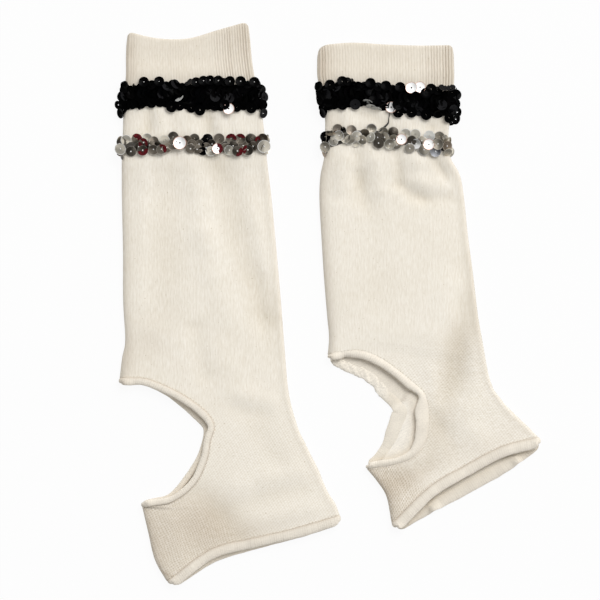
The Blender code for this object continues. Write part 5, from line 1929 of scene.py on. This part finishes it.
# How strong each part of the knit's pattern is, and the angle and pitch of its lines. The last three set how strongly
# shade is painted in the rib grooves, along the side folds and in the creases.
KNIT = {
    "left": {
        "leg_wave": 0.012,
        "leg_streak": 0.34,
        "foot_lines": (45, 2.2),
        "foot_other": (-28, 2.65),
        "foot_wave": 0.044,
        "foot_cross": 0.036,
        "foot_streak": 0.30,
        "strap_lines": (-24, 2.6),
        "strap_other": (58, 2.05),
        "strap_wave": 0.030,
        "strap_cross": 0.018,
        "strap_dots": 0.055,
        "strap_streak": 0.50,
        "cuff_streak": 0.32,
        "rib_groove_shade": 0.50,
        "fold_shade": 0.24,
        "crease_shade": 0.085,
    },
    "right": {
        "leg_wave": 0.010,
        "leg_streak": 0.32,
        "foot_lines": (46, 2.2),
        "foot_other": (-33, 2.7),
        "foot_wave": 0.046,
        "foot_cross": 0.040,
        "foot_streak": 0.44,
        "strap_lines": (40, 2.25),
        "strap_other": (-25, 2.5),
        "strap_wave": 0.050,
        "strap_cross": 0.050,
        "strap_dots": 0.055,
        "strap_streak": 0.60,
        "cuff_streak": 0.32,
        "rib_groove_shade": 0.50,
        "fold_shade": 0.30,
        "crease_shade": 0.085,
    },
}
# How strongly shade is painted in the grooves of the hems' ribs.
HEM_GROOVE_SHADE = 0.12
GROUND_GLOW = 0.925


# ------------------------------------------------------------------ putting it together
def crown_of(name):
    """How much fuller the upper layer is than the flat tube, in metres, along the sock."""
    last = len(LEFT_SECTIONS if name == "left" else RIGHT_SECTIONS) - 1

    def crown(at):
        if name == "left":
            knots = [0, 2, 4, 6, 9, 12, 15, 20, 23, last - 1, last]
            height = [0.3, 0.5, 0.5, 0.6, 1.0, 0.9, 0.7, 0.7, 0.7, 0.5, 0.2]
        else:
            knots = [0, 2, 4, 7, 10, 13, 16, 21, 26, last - 1, last]
            height = [0.3, 0.5, 0.5, 0.6, 1.0, 0.9, 0.3, 0.2, 0.3, 0.3, 0.1]
        return float(np.interp(at, knots, height)) / 1000

    return crown


def fill_black(sock, band, trim, outlines, seed):
    """The black ring: crowded rows of cupped sequins, lapped like coins, round the whole leg."""
    s = Sequins()
    r = np.random.default_rng(seed)
    s.plain(*band.ribbon(trim.half - 6.0, 0.0004, 0.00005), TAPE, (0.003, 0.003, 0.003))
    inner = trim.half - 5.0
    rows = [(-inner, 1.0, 0), (-7.4, 1.0, 180), (-2.4, 1.5, 0), (2.6, 1.3, 180), (7.0, 0.9, 0), (inner, 0.9, 180)]
    for v, level, way in rows:
        edge = abs(v) > inner - 0.1
        for t in band.turns(0.0030):
            on_top = t < 1.0
            if on_top and edge:
                continue
            under = 2.0 < t < 3.0
            v_here = v + r.normal() * 0.8
            off = (level + 0.25 * r.normal()) / 1000
            lean, toward = 14 + 16 * r.random(), way + 35 * r.normal()
            if under:
                off = (0.35 + 0.35 * r.random()) / 1000
                lean, toward = 9 * r.random(), 360 * r.random()
            elif not on_top:
                side = trim.out_right if t < 2 else trim.out_left
                off = min(off, (side - 1.2) / 1000) + 0.0003 * r.random()
                lean, toward = 8 + 10 * r.random(), 90 + 180 * r.integers(2)
            place, up = band.ring(t, v_here, max(off, 0.0003))
            out = leaning(up, lean, toward)
            # A few discs take the facet tone: a painted grey reflection.
            tone = "facet" if r.random() < 0.03 else "black"
            kind, shade = TONES[tone]
            shade = tuple(c * (0.6 + 0.5 * r.random()) for c in shade)
            s.put(place, out, 0.00278 * (0.97 + 0.06 * r.random()), kind, shade, 6.28 * r.random(), 1)
    for d in outlines:
        place, up = band.top(d.x, d.y, (2.1 if d.lean < 20 else 1.6) / 1000)
        kind, shade = TONES[d.tone]
        facing = leaning((0, 0, 1), d.lean, d.toward)
        s.put(place, facing, d.size * UNIT, kind, shade, 6.28 * r.random(), 1)
        # Pale knots in the top row's holes: painted highlights.
        if sock.name == "left" and d.y < 84 and d.lean < 20:
            knot_and_highlight(s, place + facing * 0.0001, facing, 0.00026)
    for d in FLASHES[sock.name]:
        place, up = band.top(d.x, d.y, d.level / 1000)
        kind, shade = TONES[d.tone]
        facing = leaning((0, 0, 1), d.lean, d.toward)
        # A painted orange fringe round the bright reflection of each white disc.
        rim = (0.62, 0.30, 0.19) if d.tone == "white" else None
        s.put(place, facing, d.size * UNIT, kind, shade, 6.28 * r.random(), 1, None, rim)
        if d.tone == "white":
            knot_and_highlight(s, place + facing * 0.00005, facing, 0.00050, BLACK, (0.02, 0.008, 0.003))
    return s


def knot_and_highlight(s, place, up, size, kind=None, shade=(0.9, 0.9, 0.88)):
    """A small knot of clear thread in a sequin's hole; the pale knots are also a painted highlight, the light caught
    at the hole.
    """
    up = unit(np.asarray(up, float))
    u = unit(np.cross(up, (0.3, 0.8, 0.1)))
    v = np.cross(up, u)
    around = np.arange(8) / 8 * 2 * math.pi
    rings = []
    for turn in (15, 50, 90, 125):
        t = math.radians(turn)
        rings.append(
            place + size * (math.sin(t) * (np.cos(around)[:, None] * u + np.sin(around)[:, None] * v) + math.cos(t) * up)
        )
    points = np.vstack(rings)
    faces = []
    for k in range(3):
        for i in range(8):
            j = (i + 1) % 8
            faces.append((k * 8 + i, (k + 1) * 8 + i, (k + 1) * 8 + j, k * 8 + j))
    faces += [(0, 1, 2, 3), (0, 3, 4, 7), (4, 5, 6, 7)]
    faces += [(27, 26, 25, 24), (31, 28, 27, 24), (31, 30, 29, 28)]
    s.plain(points, faces, KNOT_HIGHLIGHT if kind is None else kind, shade)


def fill_silver(sock, band, trim, discs, red_reflections, seed):
    """The silver ring: two rows of cupped sequins, some clear, some black, some with a painted red reflection."""
    s = Sequins()
    r = np.random.default_rng(seed)
    # The tape is real; its dark brown stands in for the shade in the gaps between the discs.
    s.plain(*band.ribbon(trim.half - 6.5, 0.0004, 0.00005), TAPE, (0.11, 0.10, 0.088))
    for v in (-4.6, 4.6):
        for t in band.turns(0.0031, 1.0, 4.0):
            under = 2.0 < t < 3.0
            off = (0.35 + 0.35 * r.random()) / 1000
            if not under:
                side = trim.out_right if t < 2 else trim.out_left
                off = (0.5 + (side - 1.2) * 0.5 * r.random()) / 1000
            place, up = band.ring(t, v + r.normal() * 0.6, max(off, 0.0003))
            lean = 9 * r.random() if under else 8 + 22 * r.random()
            tone = ("grey", "grey", "dark", "light", "clear", "dark", "umber")[int(r.integers(7))]
            kind, shade = TONES[tone]
            s.put(place, leaning(up, lean, 360 * r.random()), 0.0029, kind, shade, 6.28 * r.random(), 1)
    red = {}
    for g in red_reflections:
        red.setdefault(g.number, g)
    for i, d in enumerate(discs):
        place, up = band.top(d.x, d.y, (0.4 + d.level) / 1000)
        # On the left sock grey discs take the darker slate tone: the same film, painted as reflecting less light.
        tone = {"grey": "slate"}.get(d.tone, d.tone) if sock.name == "left" else d.tone
        kind, shade = TONES[tone]
        gain = 0.82 + 0.36 * r.random()
        shade = tuple(min(1.0, c * gain) for c in shade)
        toward = 75 if d.tone == "white" else d.toward
        if d.tone not in ("white", "black") and d.lean < 40 and math.cos(math.radians(toward - 60)) > 0.2:
            toward += 180
        facing = leaning((0, 0, 1), d.lean, toward)
        # Listed discs carry a painted red reflection.
        glint = (red[i].turn, red[i].width, RED_REFLECTION) if i in red else None
        if glint:
            place = place + np.array([0, 0, 0.0005])
        cup = -1 if r.random() < 0.25 and d.tone not in ("white",) else 1
        # Painted light on the thin edge: an orange fringe round the white discs' bright reflection, a lighter
        # highlight on the rest.
        rim = (0.62, 0.30, 0.19) if d.tone == "white" else tuple(min(0.95, 0.12 + 1.9 * c) for c in shade)
        if d.tone == "black":
            rim = None
        # Painted reflection on each silver disc, darker on one side.
        fade = None if d.tone in ("white", "black") else (6.28 * r.random(), 0.20 + 0.30 * r.random())
        s.put(place, facing, d.size * UNIT, kind, shade, 6.28 * r.random(), cup, glint, rim, fade)
        # A pale knot in the hole of the raised discs: a painted highlight.
        if d.level > 1.3 and d.tone not in ("white", "black"):
            knot_and_highlight(s, place + facing * 0.00008, facing, 0.00040)
    return s


def tube(name, path, widths, material, sides=10):
    path = np.asarray(path, float)
    n = len(path)
    tangent = unit(np.gradient(path, axis=0))
    side = unit(np.cross(tangent, (0, 0, 1.0)))
    up = np.cross(side, tangent)
    a = np.arange(sides) / sides * 2 * math.pi
    points = (
        path[:, None]
        + (np.cos(a)[None, :, None] * side[:, None] + np.sin(a)[None, :, None] * up[:, None])
        * np.asarray(widths)[:, None, None]
    ).reshape(-1, 3)
    faces = []
    for i in range(n - 1):
        for k in range(sides):
            m = (k + 1) % sides
            faces.append((i * sides + k, i * sides + m, (i + 1) * sides + m, (i + 1) * sides + k))
    half = sides // 2
    for base, flip in ((0, False), ((n - 1) * sides, True)):
        for k in range(half - 1):
            f = (base + k, base + k + 1, base + sides - 2 - k, base + sides - 1 - k)
            faces.append(f if not flip else f[::-1])
    obj = mesh_object(name, points, faces, {}, [material])
    fix_outward(obj)
    return obj


def build_sock(name, sections, under, corner, creases, back, trims, tables, materials):
    sock = Sock(name, sections, under, corner, creases, back, crown_of(name))
    black, silver = trims
    shell = Shell()
    middle = black.at_2
    area = leg_shell(sock, shell, sheet_at(sock, middle - 2))[0:2]
    area, edges = area
    area += cuff_shell(sock, shell, sheet_at(sock, middle + 6))
    rounds = rounds_of(sock)
    shell.points = [rounded(p, rounds) for p in shell.points]
    body = shell.build(f"{name}_sock", [materials[f"knit_{name}"], materials["inside"]])
    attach(body, "root")
    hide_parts(f"{name}_body")

    tree = BVHTree.FromPolygons([tuple(p) for p in np.vstack(shell.points)], shell.faces)
    pieces = []
    for part, edge, widths, seed in (
        ("heel", edges["hole"], edges["hole_widths"], 21),
        ("toe", edges["toe"], edges["toe_widths"], 22),
    ):
        lower, at = edges["hole_lower" if part == "heel" else "toe_lower"], edges["hole_at" if part == "heel" else "toe_at"]
        kind = "inside" if name == "right" else "rolled"
        if part == "heel" and name == "right":
            # On the lower layer the hem keeps an even width where the upper one is pinched.
            widths = widths + lower * (3.8 * np.exp(-(((at - 20) / 0.6) ** 2)) - 1.4 * np.exp(-(((at - 21) / 0.5) ** 2))) * UNIT
        points, faces, fields = hem_roll(edge, widths, lower, at, kind, seed, edges["mouths"])
        points = rounded(points, rounds)
        roll = mesh_object(f"{name}_{part}_roll", points, faces, fields, [materials["hem"]])
        fix_outward(roll)
        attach(roll, "root")
        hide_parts(f"{name}_{part}_hem")
        pieces.append(roll)
        edge = (rounded(edge[0], rounds), edge[1])
        dash_points, dash_faces = stitches(edge, tree, 0.00045, 0.0012, 0.0019, seed + 5)
        seam = raw_object(f"{name}_{part}_stitches", dash_points, dash_faces, materials["thread"])
        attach(seam, "root")
        pieces.append(seam)

    kinds = [materials[k] for k in ("black", "metal", "flash", "clear", "red", "knot_and_highlight", "tape")]
    outlines, discs, red_reflections = tables
    for trim, fill in ((black, None), (silver, None)):
        band = Band(sock, trim)
        if trim is black:
            s = fill_black(sock, band, trim, outlines, 31 if name == "left" else 32)
        else:
            s = fill_silver(sock, band, trim, discs, red_reflections, 41 if name == "left" else 42)
        ring = s.build(trim.node.replace("_trim", "_sequins"), kinds)
        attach(ring, "root")
        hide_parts(trim.node)
        pieces.append(ring)
        if trim is black and name == "right":
            path, widths = [], []
            for x, y, w in THREAD:
                place, _ = band.top(x, y, 0.0004 + w / 2000)
                path.append(place)
                widths.append(w / 2000)
            knots = np.arange(len(path))
            fine = np.linspace(0, len(path) - 1, 60)
            path = smooth(knots, path, fine)
            widths = smooth(knots, widths, fine)[:, 0]
            path[:12, 2] += 0.0006
            thread = tube("loose_thread", path, widths, materials["yarn"])
            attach(thread, "root")
            pieces.append(thread)
    return sock, body, area, pieces


def raw_object(name, points, faces, material):
    mesh = bpy.data.meshes.new(name)
    mesh.from_pydata(np.asarray(points).tolist(), [], [tuple(int(i) for i in f) for f in faces])
    mesh.polygons.foreach_set("use_smooth", [True] * len(mesh.polygons))
    mesh.materials.append(material)
    mesh.update()
    obj = bpy.data.objects.new(name, mesh)
    bpy.context.scene.collection.objects.link(obj)
    return obj


def yarn_material():
    n = Nodes("black_thread")
    p = n.place()
    twist = n.noise(p, 1800, 2)
    n.paint(n.blend(twist, (0.006, 0.006, 0.007), (0.045, 0.043, 0.042)))
    n.bump(twist, 0.0002, 0.6)
    return n.set(Roughness=0.7, Specular_IOR_Level=0.3)


def light(name, place, aim, size, power, colour=(1, 1, 1)):
    lamp = bpy.data.lights.new(name, "AREA")
    lamp.shape = "DISK"
    lamp.size, lamp.energy, lamp.color = size, power, colour
    obj = bpy.data.objects.new(name, lamp)
    obj.location = place
    obj.rotation_euler = (Vector(aim) - Vector(place)).to_track_quat("-Z", "Y").to_euler()
    bpy.context.scene.collection.objects.link(obj)
    return obj


def make_world():
    world = bpy.data.worlds.new("studio")
    bpy.context.scene.world = world
    world.use_nodes = True
    tree = world.node_tree
    back = tree.nodes["Background"]
    place = tree.nodes.new("ShaderNodeTexCoord")
    split = tree.nodes.new("ShaderNodeSeparateXYZ")
    ramp = tree.nodes.new("ShaderNodeValToRGB")
    tree.links.new(place.outputs["Generated"], split.inputs[0])
    tree.links.new(split.outputs["Z"], ramp.inputs[0])
    tree.links.new(ramp.outputs[0], back.inputs["Color"])
    # The room is brighter towards +x and +y.
    toward = tree.nodes.new("ShaderNodeVectorMath")
    toward.operation = "DOT_PRODUCT"
    toward.inputs[1].default_value = (0.53 * 0.6, 0.85 * 0.6, 0.0)
    tree.links.new(place.outputs["Generated"], toward.inputs[0])
    gain = tree.nodes.new("ShaderNodeMath")
    gain.operation = "ADD"
    gain.inputs[1].default_value = 1.0
    tree.links.new(toward.outputs["Value"], gain.inputs[0])
    tree.links.new(gain.outputs[0], back.inputs["Strength"])
    stops = [(0.0, 0.66), (0.35, 0.64), (0.75, 0.53), (0.92, 0.38), (1.0, 0.34)]
    ramp.color_ramp.elements[0].position = stops[0][0]
    ramp.color_ramp.elements[1].position = stops[-1][0]
    for position, _ in stops[1:-1]:
        ramp.color_ramp.elements.new(position)
    for element, (_, value) in zip(ramp.color_ramp.elements, stops):
        element.color = (value, value, value * 0.995, 1)


def main():
    scene = bpy.context.scene
    scene.view_settings.view_transform = "Standard"
    scene.view_settings.look = "None"
    scene.view_settings.exposure = 0.0
    scene.view_settings.gamma = 1.0
    make_world()
    materials = {
        "knit_left": knit_material("left"),
        "knit_right": knit_material("right"),
        "inside": inside_material(),
        "hem": hem_material(),
        "thread": thread_material(),
        "black": black_material(),
        "metal": metal_material(),
        "flash": flash_material(),
        "clear": clear_material(),
        "red": red_reflection_material(),
        "knot_and_highlight": bead_material(),
        "tape": tape_material(),
        "yarn": yarn_material(),
    }
    socks = [
        build_sock(
            "left", LEFT_SECTIONS, LEFT_UNDER, LEFT_CORNER, LEFT_CREASES, LEFT_BACK, LEFT_TRIMS,
            (LEFT_BLACK, LEFT_SILVER, LEFT_RED_REFLECTIONS), materials,
        ),
        build_sock(
            "right", RIGHT_SECTIONS, RIGHT_UNDER, RIGHT_CORNER, RIGHT_CREASES, RIGHT_BACK, RIGHT_TRIMS,
            (RIGHT_BLACK, RIGHT_SILVER, RIGHT_RED_REFLECTIONS), materials,
        ),
    ]

    bpy.ops.mesh.primitive_plane_add(size=8.0, location=(0, 0, -0.00005))
    floor = bpy.context.object
    floor.name = "ground"
    floor.data.materials.append(floor_material())

    light("key", (1.75, 2.80, 4.35), (0, 0, 0), 3.30, 178.0)
    light("front", (0.10, -0.25, 2.4), (0, 0, 0), 0.10, 2.0)

    camera = bpy.data.objects.new("camera", bpy.data.cameras.new("camera"))
    scene.collection.objects.link(camera)
    camera.location = (-0.015386, 0.003142, 3.0)
    camera.data.sensor_width = 36.0
    camera.data.lens = 36.0 * 3.0 / 0.336
    camera.data.clip_end = 50.0
    scene.camera = camera


main()
